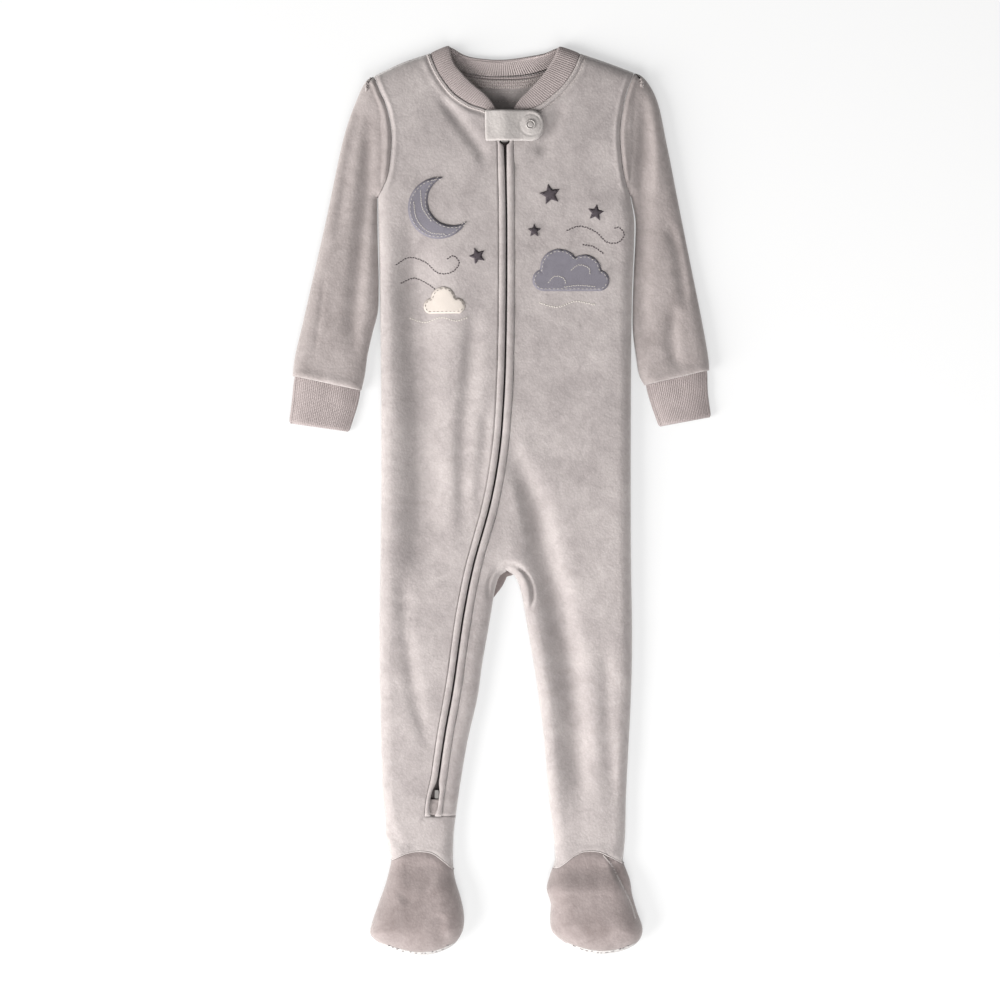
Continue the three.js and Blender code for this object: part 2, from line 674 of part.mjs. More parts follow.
// Wearer's left front: the other side of the zip, the left leg and the inner strip of the right leg
function frontPanelL() {
  const sheet = new Sheet(clothWall);
  const crotchShare = 0.84;
  const legWidths = { start: 4, even: legEven, end: 3 };
  const stripWidths = { start: 3, even: 1 };
  const acrossBody = (outer, inner, relaxStart, relaxEnd) => {
    const split = between(outer, inner, crotchShare);
    const leg = acrossRow(outer, split, { ...legWidths, relaxStart, relaxEnd });
    const strip = acrossRow(split, inner, { ...stripWidths, relaxStart: relaxEnd, relaxEnd });
    return [...leg, ...strip.slice(1)];
  };
  const innerPoints = upperZipRows.map((y) => [panelEdge('l', y), y]);
  const upperAcross = (outer, inner, relax) => acrossBody(outer, inner, relax, 1);
  const rows = upperRows('l', neckSeams.l, innerPoints, upperAcross);
  sheet.patch(rows, frontPlace);
  const torsoRows = bodyRows.filter((y) => y > crotch[1] + 1);
  const relaxAt = (y) => THREE.MathUtils.clamp((y - crotch[1]) / crotchReach, 0, 1);
  const outerAt = (y) => [xAt(paths.sideL, y), y];
  const zipAt = (y) => [panelEdge('l', y), y];
  const torso = torsoRows.map((y) => acrossBody(outerAt(y), zipAt(y), 0, relaxAt(y)));
  torso[0] = rows[rows.length - 1];
  const crotchLeg = acrossRow(outerAt(crotch[1]), crotch, legWidths);
  const crotchStrip = acrossRow(crotch, zipAt(crotch[1]), stripWidths);
  sheet.patch([...torso, [...crotchLeg, ...crotchStrip.slice(1)]], frontPlace);
  const legRows = bodyRows.filter((y) => y < crotch[1] - 1);
  const strip = legRows.map((y) => acrossRow([xAt(paths.innerLegR, y), y], zipAt(y), stripWidths));
  sheet.patch([crotchStrip, ...strip], frontPlace);
  const leg = [...legRows, ankleRowY].map((y) => acrossRow(outerAt(y), [xAt(paths.innerLegL, y), y], legWidths));
  const seamRow = vampSpots('l', seamGap / 2).reverse();
  sheet.patch([crotchLeg, ...leg, seamRow], frontPlace);
  return sheet;
}

const panelR = frontPanelR();
const panelL = frontPanelL();
add('front_panel_r', panelR.geometry(), colours.plush);
add('front_panel_l', panelL.geometry(), colours.plush);

// Back, flat on the surface and curled up to the side seams. Its neckline dips less than the front's.
function backHeight(x, y) {
  const { distance } = nearestEdge(bodyEdges, x, y);
  const { seam } = profileAt(y);
  return (seam - seamGap / 2) * (1 - roundedRise(distance / backCurl));
}

const backPlace = placeOn(backHeight, bodyEdges, 0, -1);
const backMiddle = 3;
const backUpperRows = [345, 318, 292, 266];
const heelRows = [-333, heelSeamY + 2.5 * seamGap];

function backPanel() {
  const sheet = new Sheet(clothWall);
  const widths = { start: 3, even: 3 };
  const backRows = bodyRows.filter((y, i) => i % 2 === 0 || Math.abs(y - crotch[1]) < 1);
  const torsoRows = backRows.filter((y) => y > crotch[1] + 1);
  const legRows = [...backRows.filter((y) => y < crotch[1] - 1), -300, ankleOuter.r[1]];
  for (const side of ['r', 'l']) {
    const seam = smoothPath(backNeckSeam, 64);
    const half = side === 'r' ? seam.slice(0, 33) : seam.slice(32).reverse();
    half[half.length - 1] = [backMiddle, half[half.length - 1][1]];
    const ends = backUpperRows.map((y) => [backMiddle, y]);
    const across = (outer, inner, relax) => acrossRow(outer, inner, { ...widths, relaxStart: relax });
    const rows = upperRows(side, half, [[backMiddle, half[half.length - 1][1] - 0.25], ...ends], across);
    sheet.patch(rows, backPlace, -1);
    const edge = side === 'r' ? paths.sideR : paths.sideL;
    const innerLeg = side === 'r' ? paths.innerLegR : paths.innerLegL;
    const top = torsoRows[0];
    const centre = (y) => between([backMiddle, top], crotch, (top - y) / (top - crotch[1]));
    const torsoWidths = { start: 3, even: 1, end: 2, relaxEnd: 1 };
    const torso = torsoRows.map((y) => acrossRow([xAt(edge, y), y], centre(y), torsoWidths));
    torso[0] = rows[rows.length - 1];
    const legWidths = { start: 3, even: 1, end: 2 };
    torso.push(acrossRow([xAt(edge, crotch[1]), crotch[1]], crotch, legWidths));
    sheet.patch(torso, backPlace, -1);
    const foot = side === 'r' ? paths.footR : paths.footL;
    const footStart = foot.slice(0, 20);
    const footEnd = foot.slice(30);
    const [outerFoot, innerFoot] = side === 'r' ? [footEnd, footStart] : [footStart, footEnd];
    const rowBetween = (left, right, y) => acrossRow([xAt(left, y), y], [xAt(right, y), y], legWidths);
    const leg = legRows.map((y) => rowBetween(edge, innerLeg, y));
    const heel = heelRows.map((y) => rowBetween(outerFoot, innerFoot, y));
    sheet.patch([torso[torso.length - 1], ...leg, ...heel], backPlace, -1);
  }
  return sheet;
}

add('back_panel', backPanel().geometry(), colours.plush);

// A foot's top and sole share the outline of the foot. Rings run in from it to the middle.
const vampRings = [0, 1.4, 5.5, 14];
const soleRings = [0, 1.4, 6];
const vampCentre = { r: [-72, -360], l: [82, -358] };
const soleCentre = { r: [-72, -372], l: [82, -372] };

function ringsOf(boundary, centre, ringSteps) {
  const rings = ringSteps.map((step) => boundary.map(([x, y]) => {
    const reach = Math.hypot(centre[0] - x, centre[1] - y);
    const t = Math.min(step / reach, 0.8);
    return [x + (centre[0] - x) * t, y + (centre[1] - y) * t];
  }));
  rings.push(boundary.map(() => centre));
  return rings.map((ring) => [...ring, ring[0]]);
}

function footPath(side) {
  return side === 'r' ? paths.footR : paths.footL;
}

function vamp(side) {
  const seam = vampSpots(side, -2 * seamGap);
  const toe = footPath(side).filter(([, y]) => y < Math.min(seam[0][1], seam[seam.length - 1][1]) - 3);
  const boundary = [...toe.filter((_, i) => i % 2 === 0), ...seam];
  const sheet = new Sheet(clothWall);
  sheet.patch(ringsOf(boundary, vampCentre[side], vampRings), frontPlace);
  return sheet;
}

function sole(side) {
  const path = footPath(side);
  const toe = path.filter(([, y]) => y < heelSeamY - 2);
  const halves = [path.slice(0, 24), path.slice(24)];
  const [start, end] = halves.map((half) => [xAt(half, heelSeamY), heelSeamY]);
  const heel = evenly(0, 1, 5).map((t) => between(end, start, t));
  const boundary = [...toe.filter((_, i) => i % 2 === 0), ...heel];
  const sheet = new Sheet(clothWall);
  sheet.patch(ringsOf(boundary, soleCentre[side], soleRings), backPlace, -1);
  return sheet;
}

for (const side of ['r', 'l']) {
  add(`vamp_${side}`, vamp(side).geometry(), colours.vampPlush);
  add(`sole_${side}`, sole(side).geometry(), colours.sole);
}

// Sleeves: a tube closed at both edges, open at the armhole and the cuff. Its cap lies level with
// the chest as far as the fold and drops from there to the sleeve's own height.
const sleeveBodyGap = 0.45;
const sleeveEdges = {
  r: [sleevePaths.outerR, shifted(sleevePaths.innerR, -sleeveBodyGap, 0)],
  l: [sleevePaths.outerL, shifted(sleevePaths.innerL, sleeveBodyGap, 0)],
};

function sleeveHeight(side) {
  const folds = side === 'r' ? sleeveFoldsR : sleeveFoldsL;
  const capFold = side === 'r' ? paths.capFoldR : paths.capFoldL;
  const direction = side === 'r' ? -1 : 1;
  return (x, y) => {
    const { distance } = nearestEdge(sleeveEdges[side], x, y);
    const rise = roundedRise(distance / sleeveRounding);
    const swell = sleeveFullness * (1 - Math.exp(-distance / fullnessReach));
    const folded = swell + rise * foldHeight(folds, x, y);
    const own = sleeveSeamHeight + (sleeveCrown - sleeveSeamHeight) * rise + folded;
    const onCap = y > underarm[side][1] && (xAt(capFold, y) - x) * direction > 0 && distance > edgeTouch;
    return onCap ? Math.max(own, bodyHeight(x, y)) : own;
  };
}

function sleeveUnderside(side) {
  return (x, y) => {
    const { distance } = nearestEdge(sleeveEdges[side], x, y);
    return sleeveSeamHeight * (1 - roundedRise(distance / backCurl));
  };
}

const capShare = 0.37;

function sleeve(side) {
  const direction = side === 'r' ? -1 : 1;
  const downward = (path) => (path[0][1] > path[path.length - 1][1] ? path : [...path].reverse());
  const [outerPath, innerPath] = sleeveEdges[side].map(downward);
  const armhole = shifted(smoothPath(armholes[side]), direction * seamGap, 0);
  const fold = downward(side === 'r' ? paths.capFoldR : paths.capFoldL);
  const outerLength = lengthOf(outerPath);
  const capOuter = outerLength * capShare;
  const top = placeOn(sleeveHeight(side), sleeveEdges[side], 0, 1);
  const under = placeOn(sleeveUnderside(side), sleeveEdges[side], 0, -1);
  const sheet = new Sheet(clothWall);
  const seams = stations(armhole);
  const cap = seams.map((seam, i) => {
    const share = i / (seams.length - 1);
    return {
      outer: pointAlong(outerPath, capOuter * share),
      fold: share ? pointAlong(fold, 2 + (lengthOf(fold) - 2) * share) : outerPath[0],
      seam: share ? seam : outerPath[0],
    };
  });
  const start = innerPath[0];
  cap[cap.length - 1].fold = start;
  cap[cap.length - 1].seam = start;
  const widths = { start: 3, even: 4, end: 1 };
  const capRow = (row, relaxEnd) => [
    ...acrossRow(row.outer, row.fold, { ...widths, relaxEnd }),
    ...evenly(0, 1, 2).slice(1).map((t) => between(row.fold, row.seam, t)),
  ];
  const spotsToFold = widths.start + widths.even + widths.end + 1;
  const collapsed = (row) => Array.from({ length: spotsToFold + 2 }, () => row.outer);
  const capRows = cap.map((row, i) => (i ? capRow(row, 1 - i / (cap.length - 1)) : collapsed(row)));
  sheet.patch(capRows, top);
  const lowerCount = 7;
  const lower = evenly(0, 1, lowerCount).map((t) => {
    const outer = pointAlong(outerPath, capOuter + (outerLength - capOuter) * t);
    const inner = pointAlong(innerPath, lengthOf(innerPath) * t);
    return acrossRow(outer, inner, widths);
  });
  lower[0] = capRows[capRows.length - 1].slice(0, spotsToFold);
  sheet.patch(lower, top);
  sheet.patch(capRows, under, -1);
  sheet.patch(lower, under, -1);
  return sheet;
}

for (const side of ['r', 'l']) {
  add(`sleeve_${side}`, sleeve(side).geometry(), colours.sleevePlush);
}

// A wall of rib knit: raised ribs outside over a plain inside with fewer points
function ribbedWall({ columns, bands, closed, outer, inner }) {
  const outerCount = closed ? columns : columns + 1;
  const innerColumns = columns / ribInnerStride;
  const innerCount = closed ? innerColumns : innerColumns + 1;
  const points = [];
  for (let b = 0; b <= bands; b++) {
    for (let c = 0; c < outerCount; c++) {
      points.push(outer(c / columns, b / bands, c % 2 ? -ribDepth : 0));
    }
  }
  const innerStart = points.length;
  for (let b = 0; b <= bands; b++) {
    for (let c = 0; c < innerCount; c++) {
      points.push(inner(c / innerColumns, b / bands));
    }
  }
  const o = (c, b) => b * outerCount + (closed ? c % columns : c);
  const n = (c, b) => innerStart + b * innerCount + (closed ? c % innerColumns : c);
  const faces = [];
  const quad = (a, b, c, d) => faces.push([a, b, c], [a, c, d]);
  for (let b = 0; b < bands; b++) {
    for (let c = 0; c < columns; c++) {
      quad(o(c, b), o(c + 1, b), o(c + 1, b + 1), o(c, b + 1));
    }
    for (let c = 0; c < innerColumns; c++) {
      quad(n(c, b + 1), n(c + 1, b + 1), n(c + 1, b), n(c, b));
    }
  }
  const half = ribInnerStride / 2;
  for (let c = 0; c < innerColumns; c++) {
    const first = c * ribInnerStride;
    for (let k = 0; k < ribInnerStride; k++) {
      const near = k < half ? c : c + 1;
      faces.push([n(near, 0), o(first + k + 1, 0), o(first + k, 0)]);
      faces.push([n(near, bands), o(first + k, bands), o(first + k + 1, bands)]);
    }
    faces.push([n(c, 0), n(c + 1, 0), o(first + half, 0)]);
    faces.push([n(c + 1, bands), n(c, bands), o(first + half, bands)]);
  }
  if (!closed) {
    for (let b = 0; b < bands; b++) {
      quad(o(0, b), o(0, b + 1), n(0, b + 1), n(0, b));
      quad(o(columns, b + 1), o(columns, b), n(innerColumns, b), n(innerColumns, b + 1));
    }
  }
  return solidGeometry(points, faces);
}

// Flattened ring: straight along the top and bottom, round at the two folded edges
function ringSection(share, halfWidth, height) {
  const radius = height / 2;
  const straight = 2 * (halfWidth - radius);
  const turn = Math.PI * radius;
  const round = (middle, angle) => {
    const [outX, outZ] = [Math.cos(angle), Math.sin(angle)];
    return { across: middle + radius * outX, z: radius + radius * outZ, outX, outZ };
  };
  let along = share * 2 * (straight + turn);
  if (along < straight) {
    return { across: along - straight / 2, z: height, outX: 0, outZ: 1 };
  }
  along -= straight;
  if (along < turn) {
    return round(straight / 2, Math.PI / 2 - along / radius);
  }
  along -= turn;
  if (along < straight) {
    return { across: straight / 2 - along, z: 0, outX: 0, outZ: -1 };
  }
  along -= straight;
  return round(-straight / 2, -Math.PI / 2 - along / radius);
}

// Cuffs: their folded edges from the sleeve seam to the opening
const cuffEdges = {
  r: {
    outer: [[-182, 107.6], [-183.6, 88], [-186.3, 67.3]],
    inner: [[-122.6, 95.3], [-125.4, 83.6], [-133, 59.6]],
  },
  l: {
    inner: [[128, 100.1], [133, 84], [140, 64.2]],
    outer: [[183.4, 112.8], [183.2, 96.8], [186.2, 72.8]],
  },
};
const cuffWidth = 60;

function cuff(side) {
  const [outerEdge, innerEdge] = [smoothPath(cuffEdges[side].outer, 8), smoothPath(cuffEdges[side].inner, 8)];
  const ribs = 4 * Math.round((2 * cuffWidth) / ribPitch / 4);
  const at = (share, t, height, wall, lift) => {
    const [ax, ay] = pointAlong(outerEdge, lengthOf(outerEdge) * t);
    const [bx, by] = pointAlong(innerEdge, lengthOf(innerEdge) * t);
    const width = Math.hypot(bx - ax, by - ay);
    const section = ringSection(share, width / 2 - wall, height);
    const across = section.across + section.outX * lift;
    const [ux, uy] = [(bx - ax) / width, (by - ay) / width];
    return [(ax + bx) / 2 + ux * across, (ay + by) / 2 + uy * across, wall + section.z + section.outZ * lift];
  };
  return ribbedWall({
    columns: ribs * 2,
    bands: 1,
    closed: true,
    outer: (share, t, lift) => at(share, t, cuffHeight, 0, lift),
    inner: (share, t) => at(share, t, cuffHeight - 2 * ribWall, ribWall, 0),
  });
}

for (const side of ['r', 'l']) {
  add(`cuff_${side}`, cuff(side), colours.rib);
}

// Neckband: one strip from the zip round the back of the neck to the zip, folded over at both peaks
const neckDivisions = 5;

function bandSections(seam, edge, until, height) {
  const lastStep = shoulderSteps[shoulderSteps.length - 1];
  const shares = evenly(0, 1, neckDivisions).slice(1);
  const spots = (path) => {
    const reach = lengthOf(path) * until;
    return [...shoulderSteps, ...shares.map((share) => lastStep + (reach - lastStep) * share)]
      .map((distance) => pointAlong(path, distance))
      .map(([x, y]) => new THREE.Vector3(x, y, height(x, y)));
  };
  const edges = spots(edge);
  return spots(seam).map((point, i) => ({ seam: point, edge: edges[i] }));
}

function neckband() {
  const [backSeam, backEdge] = [smoothPath(backNeckSeam, 64), smoothPath(backNeckEdge, 64)];
  const reversed = (path) => [...path].reverse();
  const frontR = bandSections(smoothPath(neckSeams.r), smoothPath(neckEdges.r), 1, bodyHeight);
  const frontL = bandSections(smoothPath(neckSeams.l), smoothPath(neckEdges.l), 1, bodyHeight);
  const backR = bandSections(backSeam, backEdge, 0.5, backHeight);
  const backL = bandSections(reversed(backSeam), reversed(backEdge), 0.5, backHeight);
  const sections = [...frontR.reverse(), ...backR.slice(1), ...backL.reverse().slice(1, -1), ...frontL];
  const middles = sections.map(({ seam, edge }) => seam.clone().add(edge).multiplyScalar(0.5));
  const distances = middles.map(() => 0);
  for (let i = 1; i < middles.length; i++) {
    distances[i] = distances[i - 1] + middles[i].distanceTo(middles[i - 1]);
  }
  const normals = sections.map(({ seam, edge }, i) => {
    const before = middles[Math.max(i - 1, 0)];
    const after = middles[Math.min(i + 1, middles.length - 1)];
    return edge.clone().sub(seam).cross(after.clone().sub(before)).normalize();
  });
  const total = distances[distances.length - 1];
  const at = (share, t, depth) => {
    const distance = share * total;
    let i = 1;
    while (i < distances.length - 1 && distances[i] < distance) {
      i++;
    }
    const passed = (distance - distances[i - 1]) / (distances[i] - distances[i - 1]);
    const along = THREE.MathUtils.clamp(passed, 0, 1);
    const seam = sections[i - 1].seam.clone().lerp(sections[i].seam, along);
    const edge = sections[i - 1].edge.clone().lerp(sections[i].edge, along);
    const normal = normals[i - 1].clone().lerp(normals[i], along).normalize();
    return seam.lerp(edge, t).addScaledVector(normal, -depth).toArray();
  };
  return ribbedWall({
    columns: 2 * ribInnerStride * Math.round(total / ribPitch / ribInnerStride),
    bands: 1,
    closed: false,
    outer: (share, t, lift) => at(share, t, -lift),
    inner: (share, t) => at(share, t, ribWall),
  });
}

add('neckband', neckband(), colours.rib);

// Strips along the zip: the same section carried down the zip line
function loft(sections) {
  const size = sections[0].length;
  const faces = [];
  for (let s = 1; s < sections.length; s++) {
    for (let i = 0; i < size; i++) {
      const next = (i + 1) % size;
      const [a, b] = [(s - 1) * size + i, (s - 1) * size + next];
      const [c, d] = [s * size + next, s * size + i];
      faces.push([a, b, c], [a, c, d]);
    }
  }
  const capOf = (section) => {
    const flat = section.map(([x, , z]) => new THREE.Vector2(x, z));
    const turn = Math.sign(THREE.ShapeUtils.area(flat));
    return THREE.ShapeUtils.triangulateShape(flat, []).map(([i, j, k]) => {
      const sameTurn = Math.sign(THREE.ShapeUtils.area([flat[i], flat[j], flat[k]])) === turn;
      return sameTurn ? [i, j, k] : [i, k, j];
    });
  };
  const end = (sections.length - 1) * size;
  for (const [i, j, k] of capOf(sections[0])) {
    faces.push([i, k, j]);
  }
  for (const [i, j, k] of capOf(sections[sections.length - 1])) {
    faces.push([i + end, j + end, k + end]);
  }
  return solidGeometry(sections.flat(), faces);
}

const stopRows = [-248, -254, -259, -267, -272];
const weltTop = upperZipRows[0] - 0.4;

// Section of a welt: share of the way from its seam to the gap, and rise over the cloth
const weltSection = [
  { share: 0, rise: 0 },
  { share: 0.22, rise: weltRise * 0.8 },
  { share: 0.55, rise: weltRise },
  { share: 0.85, rise: weltRise * 0.6 },
  { share: 1, rise: -0.5 },
  { share: 1, rise: -weltDepth },
  { share: 0, rise: -weltDepth },
];
const weltRows = [weltTop, upperZipRows[1], sliderTop + 0.5, sliderTop - 0.5, ...upperZipRows.slice(2, -1),
  ...bodyRows, ...stopRows].sort((a, b) => b - a);

function welt(side) {
  const direction = side === 'r' ? -1 : 1;
  return loft(weltRows.map((y) => {
    const outer = weltOuter(side, y);
    const inner = xAt(zipPath, y) + direction * halfGapAt(y);
    const [from, to] = [bodyHeight(outer, y), bodyHeight(inner, y)];
    return weltSection.map(({ share, rise }) => [
      outer + (inner - outer) * share,
      y,
      from + (to - from) * share + rise,
    ]);
  }));
}

add('zip_welt_r', welt('r'), colours.plush);
add('zip_welt_l', welt('l'), colours.plush);

// Tape inside the zip, with the closed coil standing up in the gap
const tapeRows = bodyRows.filter((y, i) => i % 2 === 0 || i === bodyRows.length - 1);
const tapeTop = -(clothWall + seamGap);
const coilTop = tapeTop + coilRise;

const tapeClearance = 0.7;

function zipTape() {
  return loft([...upperZipRows.slice(0, -1), ...tapeRows].map((y) => {
    const centre = xAt(zipPath, y);
    const sides = [centre - tapeHalfWidth, centre + tapeHalfWidth].map((x) => bodyHeight(x, y));
    const level = Math.min(...sides, bodyHeight(centre, y)) - tapeClearance;
    const at = (dx, dz) => [centre + dx, y, level + dz];
    return [at(-tapeHalfWidth, tapeTop), at(-coilHalfWidth, tapeTop), at(-coilHalfWidth, coilTop),
      at(coilHalfWidth, coilTop), at(coilHalfWidth, tapeTop), at(tapeHalfWidth, tapeTop),
      at(tapeHalfWidth, tapeTop - tapeWall), at(-tapeHalfWidth, tapeTop - tapeWall)];
  }));
}

add('zip_tape', zipTape(), colours.tape);

// A block with rounded corners, seen from above, and bevelled edges
function roundedBlock({ width, length, height, corner, bevel }) {
  const shape = new THREE.Shape();
  const [x, y] = [width / 2 - bevel, length / 2 - bevel];
  shape.moveTo(-x + corner, -y);
  shape.lineTo(x - corner, -y);
  shape.quadraticCurveTo(x, -y, x, -y + corner);
  shape.lineTo(x, y - corner);
  shape.quadraticCurveTo(x, y, x - corner, y);
  shape.lineTo(-x + corner, y);
  shape.quadraticCurveTo(-x, y, -x, y - corner);
  shape.lineTo(-x, -y + corner);
  shape.quadraticCurveTo(-x, -y, -x + corner, -y);
  return new THREE.ExtrudeGeometry(shape, {
    depth: height - 2 * bevel, bevelThickness: bevel, bevelSize: bevel, bevelSegments: 1, curveSegments: 2,
  });
}

function addOnZip(name, block) {
  const x = xAt(zipPath, block.y);
  const mesh = add(name, roundedBlock(block), colours.metal);
  mesh.position.set(x, block.y, bodyHeight(x, block.y) + block.base);
}

addOnZip('zip_slider', slider);
addOnZip('zip_pull', pull);
addOnZip('zip_stop', zipStop);

// Chin guard: a plush tab over the top of the zip, sewn at its straight end and snapped at its round one
function guardLiftAt(x, y) {
  const overZip = Math.exp(-(((x - zipPath[0][0]) / guardLift.zipReach) ** 2));
  const overSnap = Math.exp(-((Math.hypot(x - snap.x, y - snap.y) / guardLift.snapReach) ** 2));
  return guardLift.base + guardLift.overZip * overZip + guardLift.overSnap * overSnap;
}

const roundEndSteps = [0.3, 0.6, 0.82, 0.95, 1];
const roundEndPower = 2.6;

function chinGuard() {
  const halfHeight = (guard.top - guard.bottom) / 2;
  const middleY = guard.bottom + halfHeight;
  const endLength = guard.right - guard.roundStart;
  const columns = evenly(guard.left, guard.roundStart, 7);
  columns.push(...roundEndSteps.map((t) => guard.roundStart + endLength * t));
  const rows = columns.map((x) => {
    const t = Math.max(0, (x - guard.roundStart) / endLength);
    const reach = halfHeight * (1 - t ** roundEndPower) ** (1 / roundEndPower);
    return evenly(-1, 1, 5).map((share) => [x, middleY + share * reach]);
  });
  const sheet = new Sheet(guard.wall);
  const upright = ([x, y]) => {
    const z = bodyHeight(x, y) + guardLiftAt(x, y) + guard.wall;
    return { outer: [x, y, z], inner: [x, y, z - guard.wall], onEdge: false };
  };
  sheet.patch(rows, upright);
  return sheet;
}

const guardSheet = chinGuard();
add('chin_guard', guardSheet.geometry(), colours.guardPlush);

// Ring snap on the guard and its stud on the cloth below
const ringProfile = [
  [snap.innerRadius, 0],
  [snap.outerRadius, 0],
  [snap.outerRadius, snap.height * 0.5],
  [(snap.outerRadius + snap.innerRadius) / 2, snap.height],
  [snap.innerRadius, snap.height * 0.6],
  [snap.innerRadius, 0],
].map(([radius, z]) => new THREE.Vector2(radius, z));
const ringGeometry = new THREE.LatheGeometry(ringProfile, 20);
ringGeometry.rotateX(Math.PI / 2);
const snapBase = bodyHeight(snap.x, snap.y) + guardLiftAt(snap.x, snap.y);
const ring = add('snap_ring', ringGeometry, colours.snapMetal);
ring.position.set(snap.x, snap.y, snapBase + guard.wall + seamGap);
const studGeometry = new THREE.CylinderGeometry(stud.radius, stud.radius, stud.height, 16);
studGeometry.rotateX(Math.PI / 2);
const studMesh = add('snap_stud', studGeometry, colours.snapMetal);
studMesh.position.set(snap.x, snap.y, snapBase - stud.below - stud.height / 2);

// Felt patches, cut from the layer of cloth space that lies on a panel
const feltBase = 0.35;
const prismHeight = 60;

function feltPatch(panel, outline) {
  const prism = new THREE.ExtrudeGeometry(outline, { depth: prismHeight, bevelEnabled: false, curveSegments: 6 });
  prism.deleteAttribute('normal');
  prism.deleteAttribute('uv');
  const layer = toManifold(panel.layer(feltBase, feltBase + feltWall));
  return fromManifold(toManifold(mergeVertices(prism)).intersect(layer));
}

function moonOutline({ x, y, radius, biteRadius, biteShift, turn }) {
  const shape = new THREE.Shape();
  const cross = (radius ** 2 - biteRadius ** 2 + biteShift ** 2) / (2 * biteShift);
  const outerAngle = Math.acos(cross / radius);
  const innerAngle = Math.acos((cross - biteShift) / biteRadius);
  shape.absarc(x, y, radius, turn + outerAngle, turn - outerAngle + 2 * Math.PI, false);
  const [bx, by] = [x + biteShift * Math.cos(turn), y + biteShift * Math.sin(turn)];
  shape.absarc(bx, by, biteRadius, turn - innerAngle + 2 * Math.PI, turn + innerAngle, true);
  return shape;
}

const starPoints = 5;
const starWaist = 0.48;

function starOutline({ x, y, radius, turn }) {
  const shape = new THREE.Shape();
  for (let i = 0; i < starPoints * 2; i++) {
    const reach = i % 2 ? radius * starWaist : radius;
    const angle = turn + Math.PI / 2 + (i * Math.PI) / starPoints;
    const spot = [x + reach * Math.cos(angle), y + reach * Math.sin(angle)];
    if (i) {
      shape.lineTo(...spot);
    } else {
      shape.moveTo(...spot);
    }
  }
  return shape;
}

// Upper envelope of round lobes, closed along a flat base
const cloudSteps = 28;
const cloudSkirt = 0.5;

function cloudOutline({ x, y, lobes, base }) {
  const [first, last] = [lobes[0], lobes[lobes.length - 1]];
  const halfChord = (radius, offset) => Math.sqrt(Math.max(radius ** 2 - offset ** 2, 0));
  const from = first.x - halfChord(first.radius, base - first.y);
  const to = last.x + halfChord(last.radius, base - last.y);
  const top = evenly(0, 1, cloudSteps).map((t) => {
    const along = from + ((to - from) * (1 - Math.cos(Math.PI * t))) / 2;
    const reached = lobes.filter((lobe) => Math.abs(along - lobe.x) < lobe.radius);
    const heights = reached.map((lobe) => lobe.y + halfChord(lobe.radius, along - lobe.x));
    return new THREE.Vector2(x + along, y + Math.max(base, ...heights));
  });
  const underside = [from, to].map((along) => new THREE.Vector2(x + along, y + base - cloudSkirt));
  return new THREE.Shape([...underside, ...top.reverse()]);
}

add('moon_patch', feltPatch(panelR, moonOutline(moonPatch)), colours.slateFelt);
add('large_cloud_patch', feltPatch(panelL, cloudOutline(largeCloud)), colours.slateFelt);
add('small_cloud_patch', feltPatch(panelR, cloudOutline(smallCloud)), colours.creamFelt);
stars.forEach((star, i) => {
  const panel = star.x > backMiddle ? panelL : panelR;
  add(`star_patch_${i + 1}`, feltPatch(panel, starOutline(star)), colours.charcoalFelt);
});

// Origin below the middle of the garment, on the surface that it lies on
const extent = new THREE.Box3().setFromObject(garment);
const middle = extent.getCenter(new THREE.Vector3());
garment.position.set(-middle.x, -middle.y, -extent.min.z);
const sleeper = new THREE.Group();
sleeper.add(garment);

export default sleeper;
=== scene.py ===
import math
import random

import bmesh
import bpy
import numpy as np
from mathutils import Matrix, Vector, noise


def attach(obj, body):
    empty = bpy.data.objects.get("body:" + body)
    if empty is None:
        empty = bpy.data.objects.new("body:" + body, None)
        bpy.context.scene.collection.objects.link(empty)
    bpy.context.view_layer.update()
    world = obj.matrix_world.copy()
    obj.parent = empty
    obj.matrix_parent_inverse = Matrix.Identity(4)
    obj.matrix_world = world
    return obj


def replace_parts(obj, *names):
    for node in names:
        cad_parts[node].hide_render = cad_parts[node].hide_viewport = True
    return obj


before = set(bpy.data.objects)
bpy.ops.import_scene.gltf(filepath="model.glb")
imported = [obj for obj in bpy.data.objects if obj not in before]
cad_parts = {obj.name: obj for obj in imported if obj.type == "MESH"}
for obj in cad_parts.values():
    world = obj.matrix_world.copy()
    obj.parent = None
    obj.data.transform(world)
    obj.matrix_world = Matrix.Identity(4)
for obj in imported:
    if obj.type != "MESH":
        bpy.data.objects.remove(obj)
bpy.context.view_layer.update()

random.seed(7)

# Tables are in millimetres, before the garment is centred on the origin
mm = 0.001
garmentShift = (0.0709, 0.3905)

# Camera and light
cameraSet = {"height": 3.01, "lens": 122.7, "sensor": 36.0, "centre": (0.0, 0.0)}
camera = bpy.data.objects.new("camera", bpy.data.cameras.new("camera"))
camera.data.lens = cameraSet["lens"]
camera.data.sensor_width = cameraSet["sensor"]
camera.location = (cameraSet["centre"][0], cameraSet["centre"][1], cameraSet["height"])
bpy.context.scene.collection.objects.link(camera)
bpy.context.scene.camera = camera

lamps = [
    {"name": "key", "place": (-3.2, -1.3, 1.55), "size": 2.7, "power": 368, "tint": (1.0, 0.99, 0.98)},
    {"name": "fill", "place": (2.4, -0.5, 1.3), "size": 2.0, "power": 10, "tint": (0.97, 0.98, 1.0)},
    {"name": "foot", "place": (0.15, -1.25, 1.35), "size": 1.2, "power": 35, "tint": (1.0, 1.0, 1.0)},
]
for lamp in lamps:
    light = bpy.data.lights.new(lamp["name"], "AREA")
    light.energy = lamp["power"]
    light.size = lamp["size"]
    light.color = lamp["tint"]
    holder = bpy.data.objects.new(lamp["name"], light)
    holder.location = lamp["place"]
    holder.rotation_euler = (-Vector(lamp["place"])).to_track_quat("-Z", "Y").to_euler()
    bpy.context.scene.collection.objects.link(holder)

